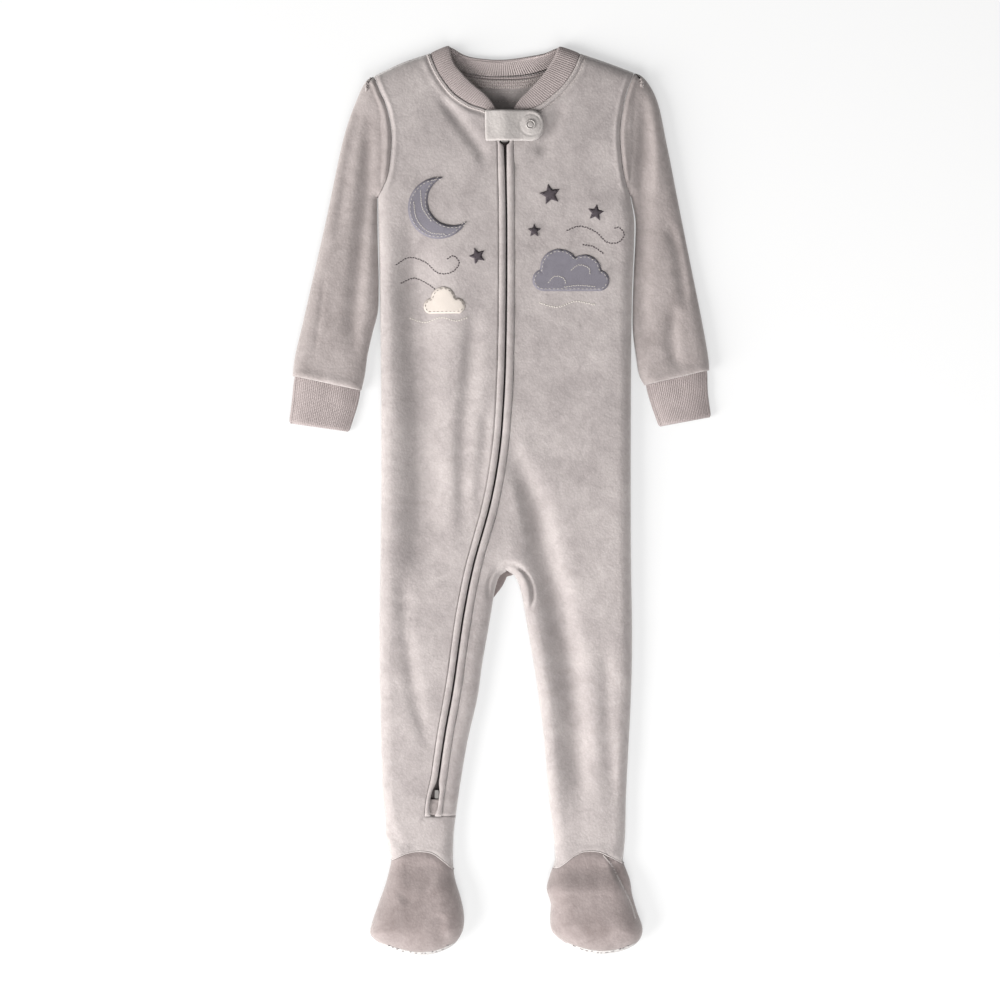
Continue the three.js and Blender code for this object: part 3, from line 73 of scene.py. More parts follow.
sky = bpy.data.worlds.new("sky")
sky.use_nodes = True
sky.node_tree.nodes["Background"].inputs["Color"].default_value = (1, 1, 1, 1)
sky.node_tree.nodes["Background"].inputs["Strength"].default_value = 0.31
bpy.context.scene.world = sky
bpy.context.scene.view_settings.view_transform = "Standard"
print("camera and light")

# The garment's lines
underarm = {"r": (-107.8, 265.6), "l": (115, 266.6)}
shoulderTip = {"r": (-118.2, 368.7), "l": (126.1, 372.2)}
armholeTop = {"r": (-111.1, 373.1), "l": (117.9, 376.1)}
neckPoint = {"r": (-61.8, 393.2), "l": (71, 392.9)}
neckPeak = {"r": (-45.1, 400.4), "l": (51.9, 399.7)}
ankleOuter = {"r": (-95.6, -318), "l": (108, -318)}
ankleInner = {"r": (-41.6, -318), "l": (48.4, -318)}
crotch = (6.2, -62.9)
zipBottom = -278

outlines = {
    "sideR": [ankleOuter["r"], (-97, -311), (-100.4, -297), (-100.6, -283), (-103, -264), (-105.6, -176),
              (-106.3, -123), (-105.4, -53), (-104.7, 18), (-105.4, 140), (-106.9, 229), underarm["r"]],
    "sideL": [underarm["l"], (118.2, 247), (118.2, 229), (116.2, 176), (115.3, 60), (115.4, -53),
              (116.4, -123), (115.3, -176), (112.6, -229), (110.9, -264), (110, -300), ankleOuter["l"]],
    "capFoldR": [underarm["r"], (-108.6, 297), (-109.1, 325), (-111.1, 343), (-116.2, 357.5),
                 shoulderTip["r"]],
    "capFoldL": [shoulderTip["l"], (123.6, 357), (122.1, 333.5), (121.1, 311.5), (118.5, 288),
                 underarm["l"]],
    "capTopR": [shoulderTip["r"], armholeTop["r"]],
    "shoulderR": [armholeTop["r"], (-87, 384.6), neckPoint["r"]],
    "neckFoldR": [neckPoint["r"], neckPeak["r"]],
    "neckFoldL": [neckPeak["l"], neckPoint["l"]],
    "shoulderL": [neckPoint["l"], (94.2, 385), armholeTop["l"]],
    "capTopL": [armholeTop["l"], shoulderTip["l"]],
    "innerLegL": [ankleInner["l"], (47.5, -299), (43.1, -264), (38.7, -211), (34.3, -176), (29, -141),
                  (22.9, -106), (19.4, -86), (15.8, -73), (11.6, -65.6), crotch],
    "innerLegR": [crotch, (0.8, -65.6), (-2.8, -73), (-6, -88), (-9.6, -110), (-15.6, -144),
                  (-20.2, -176), (-28.3, -211), (-34.3, -246), (-38.6, -275), (-41, -296),
                  ankleInner["r"]],
    "footR": [ankleInner["r"], (-40, -333), (-34.3, -352), (-31.6, -368), (-33, -380), (-40, -391),
              (-55, -399), (-72, -401), (-90, -397.5), (-108, -389.5), (-114.4, -382.5), (-112.5, -372),
              (-106.4, -354), (-100.6, -338), ankleOuter["r"]],
    "footL": [ankleOuter["l"], (114.6, -336), (116.4, -348), (120.4, -362), (125.6, -379), (122.6, -388),
              (112, -395.6), (92, -400), (74, -397.6), (56, -389.5), (45.6, -380), (44, -368),
              (44.6, -356), (41, -343), (43.4, -332), ankleInner["l"]],
}
sleeveHem = {
    "r": {"outer": (-183, 108.8), "inner": (-121.9, 95.9)},
    "l": {"outer": (184.6, 114), "inner": (126.8, 100.5)},
}
capStart = {"r": (-111.9, 372.7), "l": (118.7, 375.8)}
sleeveOutlines = {
    "outerR": [sleeveHem["r"]["outer"], (-181.3, 124), (-173.4, 158.4), (-154, 244), (-136.6, 323.8),
               (-126.6, 352), shoulderTip["r"], capStart["r"]],
    "innerR": [underarm["r"], (-107.5, 229), (-106.6, 190), (-107.4, 165), (-111.6, 148), (-116.2, 128),
               (-119, 108), sleeveHem["r"]["inner"]],
    "outerL": [capStart["l"], shoulderTip["l"], (137.3, 354.6), (147.3, 311.5), (158, 257), (168, 207),
               (177.8, 158.4), (183.9, 123.2), sleeveHem["l"]["outer"]],
    "innerL": [sleeveHem["l"]["inner"], (122.6, 108), (119, 128), (116.6, 148), (116.4, 168),
               (117.4, 200), (118.8, 229), (118.8, 247), underarm["l"]],
}
armholes = {
    "r": [armholeTop["r"], (-106.1, 360), (-99, 343), (-95.5, 321.6), (-95.9, 306), (-99, 283.5),
          underarm["r"]],
    "l": [armholeTop["l"], (111.8, 360), (107.9, 344), (105.4, 324.7), (106.5, 301.3), (110, 280),
          underarm["l"]],
}
neckSeams = {
    "r": [neckPoint["r"], (-57.5, 381.5), (-50.2, 368.7), (-40, 356.4), (-26.8, 347.6), (-13.6, 343.2),
          (-2.7, 336.6)],
    "l": [neckPoint["l"], (65.1, 378.4), (56.3, 365.2), (46.2, 355.5), (34.3, 346.7), (22, 341.4),
          (11.6, 336.6)],
}
neckEdges = {
    "r": [neckPeak["r"], (-41.4, 386), (-32.6, 374), (-23.8, 365.2), (-12.3, 355.5), (-5, 346),
          (-2.7, 341.6)],
    "l": [neckPeak["l"], (47.5, 389), (37.4, 373), (25.5, 360), (16.7, 351), (12.6, 345),
          (11.6, 341.6)],
}
backNeckSeam = [neckPoint["r"], (-48.4, 381.9), (-35.2, 374.9), (-17.6, 371.4), (3, 370.5),
                (23.8, 371.4), (41.4, 375.8), (57.2, 382.8), neckPoint["l"]]
backNeckEdge = [neckPeak["r"], (-29.9, 391.6), (-12.3, 388.5), (3, 388), (25.5, 390.9), (40.5, 394.2),
                neckPeak["l"]]
zipLine = [(3.3, 341.6), (4.7, 296), (5.6, 240), (5, 142.6), (3.3, 90.6), (-0.6, 42.2), (-8.4, -2.6),
           (-23.5, -58.1), (-31.8, -99.4), (-41.6, -167.2), (-48.8, -207.7), (-55, -252.6),
           (-57.4, zipBottom - 1)]
vampSeams = {
    "r": [ankleOuter["r"], (-89.8, -315), (-81.8, -311.5), (-71.3, -309.8), (-59.8, -311.5),
          (-51, -317.7), (-41.4, -326)],
    "l": [(47.5, -324.5), (50.6, -324), (57, -320.3), (66, -313.3), (74.8, -309.8), (87, -310.3),
          (95.6, -314.2), (108.6, -321)],
}
heelSeamY = -346

# Height of the crown, width of the rounded edge and height of the side seam along the garment
profile = {
    "y": [-402, -372, -345, -320, -300, -120, 100, 300, 365, 401],
    "crown": [20, 25, 23, 16, 14, 14.5, 15, 14.5, 13, 10.5],
    "rounding": [19, 22, 19, 12.5, 10.5, 11, 11.5, 11.5, 10.5, 9],
    "seam": [7.5, 7.5, 7.5, 6.2, 5.5, 5.5, 5.5, 5.5, 5.5, 5.5],
}
body = {"fullness": 2.0, "reach": 16.0, "wall": 1.9, "backCurl": 7.0}
sleeveForm = {"seam": 4.6, "crown": 12.0, "rounding": 11.0, "fullness": 1.2, "wall": 1.9,
              "capRows": 60, "lowerRows": 88, "capShare": 0.37, "cells": (22, 8, 8)}

# Creases: a negative rise is a trough; left and right are its widths on either side of the path
bodyCreases = [
    {"rise": -10.2, "left": 23, "right": 13,
     "path": [(-74, 262), (-77, 198), (-75, 141), (-71, 70), (-70, 0), (-73, -50), (-77, -90)]},
    {"rise": -4, "left": 9, "right": 7, "path": [(-21, 176), (-28.2, 101), (-32.6, 44), (-31.7, -40)]},
    {"rise": -2, "left": 5, "right": 6, "path": [(-9.7, 88), (-13.2, 53), (-15.5, 26), (-20, -18)]},
    {"rise": 1.6, "left": 9, "right": 7, "path": [(16, 60), (27, 28), (38, 0)]},
    {"rise": -10.4, "left": 11, "right": 13,
     "path": [(11, 50), (25, 16), (35, -33), (48, -81), (57, -127), (63, -167), (68, -250), (71, -285)]},
    {"rise": 1.8, "left": 6, "right": 6, "path": [(10, 20), (17.5, -9), (25, -44)]},
    {"rise": -2, "left": 6, "right": 7, "path": [(93, -120), (95, -190), (99, -275)]},
    {"rise": -2.2, "left": 7, "right": 6,
     "path": [(-86, -53), (-83.6, -106), (-77.4, -158), (-66, -207), (-60, -226)]},
    {"rise": -3, "left": 6, "right": 6, "path": [(56, 350), (48, 328), (40, 314), (28, 303)]},
    {"rise": -3, "left": 6, "right": 5,
     "path": [(-54, 356), (-43, 341), (-30, 324), (-18, 308), (-12, 292)]},
    {"rise": -2, "left": 5, "right": 5, "path": [(-100, -288), (-88, -304)]},
    {"rise": -5.2, "left": 7, "right": 1.6,
     "path": [(95, -314), (101, -326), (107, -337), (113.5, -350), (118.5, -362), (121, -370)]},
    {"rise": -1.2, "left": 1.3, "right": 1.3,
     "path": [(-71, -284.5), (-67.5, -279.6), (-62, -278), (-50, -279.4), (-39.6, -281)]},
    {"rise": -3, "left": 1.6, "right": 1.3,
     "path": [(2, -57), (12, -57.5), (22, -65), (27.5, -76), (28.5, -88), (24.5, -99)]},
    {"rise": 1.5, "left": 3, "right": 3, "path": [(8, -62), (17, -67), (22, -79), (23, -93), (23, -110)]},
    {"rise": -2.2, "left": 1.3, "right": 1.3, "path": [(4, -55), (-5, -62), (-10.5, -75), (-9.5, -90)]},
    {"rise": -1.8, "left": 9, "right": 9, "path": [(-60, -345), (-70, -338), (-82, -343), (-90, -352)]},
    {"rise": -1.6, "left": 7, "right": 5, "path": [(-45, -390), (-52, -378), (-50, -362)]},
]
sleeveCreases = {
    "r": [
        {"rise": -2.4, "left": 6, "right": 5,
         "path": [(-121, 360), (-128, 326), (-134, 299), (-139, 264), (-146, 225)]},
        {"rise": -3.6, "left": 6, "right": 7,
         "path": [(-117, 350), (-115.5, 317), (-118, 264), (-123, 220), (-127, 176), (-129.5, 150),
                  (-125, 119)]},
        {"rise": -0.9, "left": 1.6, "right": 1.6, "path": [(-153, 208), (-158, 165), (-164, 121)]},
    ],
    "l": [
        {"rise": -4.6, "left": 8, "right": 6,
         "path": [(126, 362), (127.5, 334), (125, 282), (124.5, 229), (124, 158), (128, 120)]},
        {"rise": -3, "left": 5.5, "right": 5.5, "path": [(148, 245), (157, 216), (164, 167)]},
        {"rise": -2.8, "left": 5.5, "right": 6, "path": [(154, 172), (151.5, 137), (157, 113)]},
        {"rise": 1.3, "left": 6, "right": 4, "path": [(132, 352), (137, 300), (138, 262)]},
        {"rise": -0.9, "left": 1.6, "right": 1.6, "path": [(161, 237), (168, 195), (173, 158)]},
    ],
}


def smoothPath(points, samples=96):
    # centripetal spline through the points, at even steps
    spots = [np.array(point) for point in points]
    ends = [2 * spots[0] - spots[1], *spots, 2 * spots[-1] - spots[-2]]
    dense = []
    for a, b, c, d in zip(ends, ends[1:], ends[2:], ends[3:]):
        k = [max(np.linalg.norm(q - p), 1e-6) ** 0.5 for p, q in ((a, b), (b, c), (c, d))]
        into = ((b - a) / k[0] - (c - a) / (k[0] + k[1]) + (c - b) / k[1]) * k[1]
        out = ((c - b) / k[1] - (d - b) / (k[1] + k[2]) + (d - c) / k[2]) * k[1]
        t = np.linspace(0, 1, 40)[:, None]
        dense.append(b + into * t + (3 * (c - b) - 2 * into - out) * t ** 2
                     + (2 * (b - c) + into + out) * t ** 3)
    return spaced(np.concatenate(dense), samples)


def along(path):
    steps = np.hypot(*np.diff(path, axis=0).T)
    return np.concatenate([[0], np.cumsum(steps)])


def spaced(path, samples):
    reach = along(path)
    return pointsAt(path, np.linspace(0, reach[-1], samples + 1))


def pointsAt(path, distances):
    reach = along(path)
    keep = np.concatenate([[True], np.diff(reach) > 1e-9])
    return np.stack([np.interp(distances, reach[keep], path[keep, i]) for i in (0, 1)], axis=1)


def lengthOf(path):
    return along(path)[-1]


def leftOf(path):
    # for each spot of a path, the direction to its left
    runs = np.gradient(path, axis=0)
    return np.stack([-runs[:, 1], runs[:, 0]], 1) / np.maximum(np.hypot(*runs.T), 1e-6)[:, None]


def lifted(spots, heights):
    return np.concatenate([spots, heights[..., None]], axis=-1)


def xAt(path, y):
    if path[0, 1] > path[-1, 1]:
        path = path[::-1]
    order = np.argsort(path[:, 1], kind="stable")
    return np.interp(y, path[order, 1], path[order, 0])


def between(a, b, t):
    return np.array(a) + (np.array(b) - np.array(a)) * t


def distanceTo(lines, x, y):
    # distance to the nearest of the paths, which side of it, and how far along it
    starts = np.concatenate([line[:-1] for line in lines])
    runs = np.concatenate([np.diff(line, axis=0) for line in lines])
    shares = np.concatenate([np.arange(len(line) - 1) / (len(line) - 1) for line in lines])
    steps = np.concatenate([np.full(len(line) - 1, 1 / (len(line) - 1)) for line in lines])
    squares = np.maximum((runs ** 2).sum(1), 1e-9)
    spots = np.stack([np.ravel(x), np.ravel(y)], axis=1)
    distance, side, where = np.empty(len(spots)), np.empty(len(spots)), np.empty(len(spots))
    for i in range(0, len(spots), 3000):
        gap = spots[i:i + 3000, None] - starts
        t = np.clip((gap * runs).sum(2) / squares, 0, 1)
        off = gap - runs * t[..., None]
        far = (off ** 2).sum(2)
        best = far.argmin(1)
        row = np.arange(len(best))
        distance[i:i + 3000] = np.sqrt(far[row, best])
        side[i:i + 3000] = np.sign(runs[best, 0] * gap[row, best, 1] - runs[best, 1] * gap[row, best, 0])
        where[i:i + 3000] = shares[best] + steps[best] * t[row, best]
    shape = np.shape(x)
    return distance.reshape(shape), side.reshape(shape), where.reshape(shape)


def smoothstep(value, low, high):
    t = np.clip((value - low) / (high - low), 0, 1)
    return t * t * (3 - 2 * t)


def rounded(t):
    return np.sqrt(1 - (1 - np.clip(t, 0, 1)) ** 2)


def profileAt(name, y):
    ys = np.array(profile["y"], float)
    values = np.array(profile[name], float)
    upper = np.clip(np.searchsorted(ys, y), 1, len(ys) - 1)
    t = smoothstep(y, ys[upper - 1], ys[upper])
    return values[upper - 1] + (values[upper] - values[upper - 1]) * t


paths = {name: smoothPath(points) for name, points in outlines.items()}
sleevePaths = {name: smoothPath(points) for name, points in sleeveOutlines.items()}
bodyEdges = list(paths.values())
zipPath = smoothPath(zipLine, 128)
armholePaths = {side: smoothPath(points) for side, points in armholes.items()}
neckSeamPaths = {side: smoothPath(points) for side, points in neckSeams.items()}
vampSeamPaths = {side: smoothPath(points) for side, points in vampSeams.items()}


def creaseHeight(creases, x, y):
    total = np.zeros(np.shape(x))
    for crease in creases:
        distance, side, where = distanceTo([smoothPath(crease["path"], 24)], x, y)
        spread = np.where(side > 0, crease["left"], crease["right"])
        ends = smoothstep(np.minimum(where, 1 - where), 0, 0.22)
        total += crease["rise"] * (0.12 + 0.88 * ends) * np.exp(-((distance / spread) ** 2))
    return total


def lumps(x, y, size, seed):
    # soft uneven swelling of the pile, between -1 and 1
    values = [noise.noise((a / size, b / size, seed)) for a, b in zip(np.ravel(x), np.ravel(y))]
    return np.array(values).reshape(np.shape(x))


def uneven(layers, x, y):
    return sum(layer["rise"] * lumps(x, y, layer["size"], layer["seed"]) for layer in layers)


seamForm = {"depth": 1.5, "width": 2.1, "ridge": 0.55, "ridgeAt": 3.6, "ridgeWidth": 1.8}


def seamGroove(lines, x, y):
    # pile pulled down into a sewn seam, with a low swelling beside it
    distance = distanceTo(lines, x, y)[0]
    groove = -seamForm["depth"] * np.exp(-((distance / seamForm["width"]) ** 2))
    fromRidge = (distance - seamForm["ridgeAt"]) / seamForm["ridgeWidth"]
    return groove + seamForm["ridge"] * np.exp(-(fromRidge ** 2))


bodySeams = list(vampSeamPaths.values())
armholeSeams = list(armholePaths.values())
edgingForm = {
    "width": 3.6, "wall": 0.6, "stitchAt": {"r": 0.72, "l": 0.35},
    "section": [(0, -0.9), (0.1, 0.3), (0.3, 0.5), (0.6, 0.45), (0.88, 0.2), (1, -0.9)],
}


neckDip = {"depth": 0.6, "at": 4.0, "width": 1.1, "swell": 0.5, "swellAt": 7.5, "swellWidth": 2.4}
bodyLumps = [{"rise": 0.7, "size": 30, "seed": 3.1}, {"rise": 0.22, "size": 9, "seed": 8.7}]
zipTopX = 3.3


def besideNeck(x, y):
    # the pile dips where the edging is sewn down
    distance = distanceTo(list(neckSeamPaths.values()), x, y)[0]
    dip = neckDip["depth"] * np.exp(-(((distance - neckDip["at"]) / neckDip["width"]) ** 2))
    return neckDip["swell"] * np.exp(-(((distance - neckDip["swellAt"]) / neckDip["swellWidth"]) ** 2)) - dip


def bodyHeight(x, y, soft=True):
    distance = distanceTo(bodyEdges, x, y)[0]
    seam = profileAt("seam", y)
    rise = rounded(distance / profileAt("rounding", y))
    swell = body["fullness"] * (1 - np.exp(-distance / body["reach"]))
    height = seam + (profileAt("crown", y) - seam) * rise + swell
    height += rise * creaseHeight(bodyCreases, x, y) + 0.15 * np.exp(-distance)
    if soft:
        sewn = 0.3 * seamGroove(bodySeams, x, y) + 1.1 * seamGroove(armholeSeams, x, y)
        height += rise * (sewn + besideNeck(x, y))
        height += rise * uneven(bodyLumps, x, y)
    return height


neckLift = {"rise": 2.4, "reach": 58.0}


def backHeight(x, y):
    distance = distanceTo(bodyEdges, x, y)[0]
    curl = (profileAt("seam", y) - 0.15) * (1 - rounded(distance / body["backCurl"]))
    # the back neck stands up a little inside the opening
    raised = neckLift["rise"] * np.exp(-(((x - zipTopX) / neckLift["reach"]) ** 4)) * smoothstep(y, 325, 352)
    return np.maximum(curl, raised)


# Sheets from grids of places
def addGrid(bm, places, faceUp=True, uv=None):
    # one grid of the sheet: rows of places, in millimetres
    x, y = places[..., 0], places[..., 1]
    turned = ((x[:-1, 1:] - x[1:, :-1]) * (y[1:, 1:] - y[:-1, :-1])
              - (x[1:, 1:] - x[:-1, :-1]) * (y[:-1, 1:] - y[1:, :-1])).sum()
    if (turned > 0) != faceUp:
        places = places[:, ::-1]
        uv = None if uv is None else uv[:, ::-1]
    rows, columns = places.shape[:2]
    made = bmesh.ops.create_grid(bm, x_segments=columns - 1, y_segments=rows - 1, size=1)
    centred = (places + (*garmentShift, 0)) * mm
    for vert, place in zip(made["verts"], centred.reshape(-1, 3)):
        vert.co = place
    if uv is not None:
        layer = bm.loops.layers.uv.verify()
        for vert, spot in zip(made["verts"], uv.reshape(-1, 2)):
            for loop in vert.link_loops:
                loop[layer].uv = spot


def newPiece(name, bm):
    mesh = bpy.data.meshes.new(name)
    bm.to_mesh(mesh)
    bm.free()
    piece = bpy.data.objects.new(name, mesh)
    bpy.context.scene.collection.objects.link(piece)
    return piece


def dressed(piece, material):
    piece.data.shade_smooth()
    piece.data.materials.append(material)
    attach(piece, "root")
    return piece


def finishSheet(name, bm, material, wall, merge=0.02):
    # joins the grids of a sheet, gives it its wall and applies it
    bmesh.ops.remove_doubles(bm, verts=bm.verts[:], dist=merge * mm)
    thin = [face for face in bm.faces if face.calc_area() < 1e-12]
    bmesh.ops.delete(bm, geom=thin, context="FACES")
    piece = newPiece(name, bm)
    shell = piece.modifiers.new("wall", "SOLIDIFY")
    shell.thickness = wall * mm
    shell.offset = -1
    applyModifiers(piece)
    for vert in piece.data.vertices:
        vert.co.z = max(vert.co.z, 0)  # nothing goes under the surface that it lies on
    return dressed(piece, material)


def applyModifiers(piece):
    ready = piece.evaluated_get(bpy.context.evaluated_depsgraph_get())
    mesh = bpy.data.meshes.new_from_object(ready)
    piece.modifiers.clear()
    piece.data = mesh


def onHeight(places, height):
    # places on a surface whose height is a function of x and y
    return lifted(places, height(places[..., 0], places[..., 1]))


edgeSteps = np.array([0.05, 0.3, 0.8, 1.6, 2.7, 4.1, 5.8, 7.7])


def acrossRow(start, end, count, startSteps=0, endSteps=0, relaxStart=0.0, relaxEnd=0.0):
    # spots across a row, close together at a rounded edge, then even
    start, end = np.array(start), np.array(end)
    width = max(np.hypot(*(end - start)), 0.05)
    reaches = [edgeSteps[n - 1] if n else 0.0 for n in (startSteps, endSteps)]
    squeeze = min(1, 0.7 * width / (sum(reaches) + 0.05))
    steps = edgeSteps * squeeze
    reaches = [reach * squeeze for reach in reaches]
    middle = np.linspace(reaches[0], width - reaches[1], count + 1)
    first = np.concatenate([[0], steps[:startSteps - 1]]) if startSteps else np.array([])
    last = width - np.concatenate([[0], steps[:endSteps - 1]])[::-1] if endSteps else np.array([])
    distances = np.concatenate([first, middle, last])
    share = np.linspace(0, 1, len(distances))
    relax = relaxStart + (relaxEnd - relaxStart) * share
    t = (distances + (share * width - distances) * relax) / width
    return start + (end - start) * t[:, None]


def zipX(y):
    return xAt(zipPath, y)


weltForm = {
    "width": {"r": 5.8, "l": 6.7}, "halfGap": 0.8, "top": 335.4, "low": -278.4, "rows": 306, "wall": 0.9,
    "sway": {"r": -2.6, "l": -1.2}, "seamLift": {"r": 0.9, "l": -0.3},
    "stop": {"y": -264, "reach": 12.5, "extra": 2.4}, "bump": {"y": 290, "reach": 7, "rise": 0.8},
    "spread": [(0.55, 280, 312), (3.0, 311, 314)],
    "section": [(0, -1.3), (0.03, -0.2), (0.12, 0.75), (0.28, 1.3), (0.5, 1.55), (0.74, 1.35),
                (0.9, 0.8), (1.0, -0.2), (1.0, -1.7)],
}
turnOf = {"r": -1, "l": 1}


def weltSway(side, y):
    # the welts lean over where they open round the stop
    return weltForm["sway"][side] * smoothstep(-np.asarray(y, float), 238, 272)


def panelEdge(side, y):
    besideZip = weltForm["halfGap"] + weltForm["width"][side] + 0.2
    return zipX(y) + weltSway(side, y) + turnOf[side] * besideZip


def coons(top, bottom, left, right):
    # a patch between four edges that share their corners
    rows, columns = len(left), len(top)
    u = np.linspace(0, 1, columns)[None, :, None]
    v = np.linspace(0, 1, rows)[:, None, None]
    ruled = (1 - v) * top[None] + v * bottom[None] + (1 - u) * left[:, None] + u * right[:, None]
    corners = ((1 - u) * (1 - v) * top[0] + u * (1 - v) * top[-1]
               + (1 - u) * v * bottom[0] + u * v * bottom[-1])
    return ruled - corners


print("lines and heights")


# Shader groups
def newGroup(name, inputs, outputs):
    group = bpy.data.node_groups.new(name, "ShaderNodeTree")
    for label, kind, value in inputs:
        socket = group.interface.new_socket(name=label, in_out="INPUT", socket_type=kind)
        if value is not None:
            socket.default_value = value
    for label, kind in outputs:
        group.interface.new_socket(name=label, in_out="OUTPUT", socket_type=kind)
    return group, group.nodes.new("NodeGroupInput"), group.nodes.new("NodeGroupOutput")


def addNode(tree, kind, settings=None, inputs=None):
    node = tree.nodes.new(kind)
    for key, value in (settings or {}).items():
        setattr(node, key, value)
    for key, value in (inputs or {}).items():
        if isinstance(value, bpy.types.NodeSocket):
            tree.links.new(value, node.inputs[key])
        else:
            node.inputs[key].default_value = value
    return node


def arithmetic(tree, operation, first, second=0.0, third=None):
    inputs = {0: first, 1: second}
    if third is not None:
        inputs[2] = third
    return addNode(tree, "ShaderNodeMath", {"operation": operation}, inputs).outputs[0]


def blend(tree, share, first, second, mode="MIX"):
    node = addNode(tree, "ShaderNodeMix", {"data_type": "RGBA", "blend_type": mode})
    for socket, value in ((node.inputs["Factor"], share), (node.inputs[6], first), (node.inputs[7], second)):
        if isinstance(value, bpy.types.NodeSocket):
            tree.links.new(value, socket)
        else:
            socket.default_value = value
    return node.outputs[2]


def noiseOf(tree, vector, scale, detail=2.0, roughness=0.5, distortion=0.0):
    return addNode(tree, "ShaderNodeTexNoise", None, {"Vector": vector, "Scale": scale, "Detail": detail,
                   "Roughness": roughness, "Distortion": distortion}).outputs["Fac"]


def colour(red, green, blue):
    # screen values 0 to 255 to linear light
    return (*[((v / 255 + 0.055) / 1.055) ** 2.4 if v > 10 else v / 3294 for v in (red, green, blue)], 1.0)


def plushGroup():
    # short pile: patches where the nap is brushed different ways, with their sheen painted in as lighter and
    # darker tone, clumped tufts and fine fibre, in object coordinates
    group, entry, outlet = newGroup("plushPile", [
        ("Vector", "NodeSocketVector", None), ("Dark", "NodeSocketColor", (0.4, 0.35, 0.33, 1)),
        ("Light", "NodeSocketColor", (0.6, 0.55, 0.53, 1)), ("Nap Sheen Patches", "NodeSocketFloat", 0.5),
        ("Tuft Size", "NodeSocketFloat", 1.0)],
        [("Color", "NodeSocketColor"), ("Height", "NodeSocketFloat"), ("Roughness", "NodeSocketFloat")])
    place = addNode(group, "ShaderNodeVectorMath", {"operation": "SCALE"}, {0: entry.outputs["Vector"]})
    group.links.new(entry.outputs["Tuft Size"], place.inputs["Scale"])
    spot = place.outputs[0]
    # broad and brushed patches: the nap's sheen painted in, lighter and darker where the pile lies
    # differently
    broadNapSheen = noiseOf(group, spot, 17.0, 2.0, 0.5, 0.8)
    brushedNapSheen = noiseOf(group, spot, 62.0, 3.0, 0.55, 1.2)
    tufts = noiseOf(group, spot, 330.0, 4.0, 0.6, 0.9)
    fibres = noiseOf(group, spot, 1250.0, 2.0, 0.6, 0.2)
    clumps = addNode(group, "ShaderNodeTexVoronoi", {"feature": "F1"}, {"Vector": spot, "Scale": 420.0,
                     "Randomness": 1.0}).outputs["Distance"]
    napSheenPatches = arithmetic(group, "MULTIPLY_ADD", broadNapSheen, 0.9, arithmetic(group, "SUBTRACT", brushedNapSheen, 0.95))
    tone = arithmetic(group, "MULTIPLY_ADD", napSheenPatches, entry.outputs["Nap Sheen Patches"], 0.5)
    tone = arithmetic(group, "MULTIPLY_ADD", tufts, 0.55, arithmetic(group, "SUBTRACT", tone, 0.275))
    tone = arithmetic(group, "MULTIPLY_ADD", fibres, 0.4, arithmetic(group, "SUBTRACT", tone, 0.2))
    tone = arithmetic(group, "MULTIPLY_ADD", clumps, -0.2, arithmetic(group, "ADD", tone, 0.07))
    clipped = addNode(group, "ShaderNodeClamp", None, {"Value": tone}).outputs[0]
    shade = blend(group, clipped, entry.outputs["Dark"], entry.outputs["Light"])
    group.links.new(shade, outlet.inputs["Color"])
    height = arithmetic(group, "MULTIPLY_ADD", fibres, 0.35, arithmetic(group, "MULTIPLY", tufts, 1.0))
    height = arithmetic(group, "MULTIPLY_ADD", clumps, -0.6, height)
    group.links.new(height, outlet.inputs["Height"])
    group.links.new(arithmetic(group, "MULTIPLY_ADD", tufts, -0.1, 0.98), outlet.inputs["Roughness"])
    return group


def feltGroup():
    # flat pressed felt with matted fibres and faint pilling
    group, entry, outlet = newGroup("mattedFelt", [
        ("Vector", "NodeSocketVector", None), ("Base", "NodeSocketColor", (0.3, 0.3, 0.3, 1)),
        ("Contrast", "NodeSocketFloat", 0.3)],
        [("Color", "NodeSocketColor"), ("Height", "NodeSocketFloat")])
    spot = entry.outputs["Vector"]
    matted = noiseOf(group, spot, 700.0, 5.0, 0.7, 1.4)
    clouds = noiseOf(group, spot, 90.0, 2.0, 0.5, 0.4)
    tone = arithmetic(group, "MULTIPLY_ADD", matted, 0.8, arithmetic(group, "MULTIPLY", clouds, 0.5))
    tone = arithmetic(group, "SUBTRACT", tone, 0.65)
    tone = arithmetic(group, "MULTIPLY_ADD", tone, entry.outputs["Contrast"], 1.0)
    grey = addNode(group, "ShaderNodeCombineColor", None, {"Red": tone, "Green": tone, "Blue": tone})
    shade = blend(group, 1.0, entry.outputs["Base"], grey.outputs[0], "MULTIPLY")
    group.links.new(shade, outlet.inputs["Color"])
    group.links.new(matted, outlet.inputs["Height"])
    return group


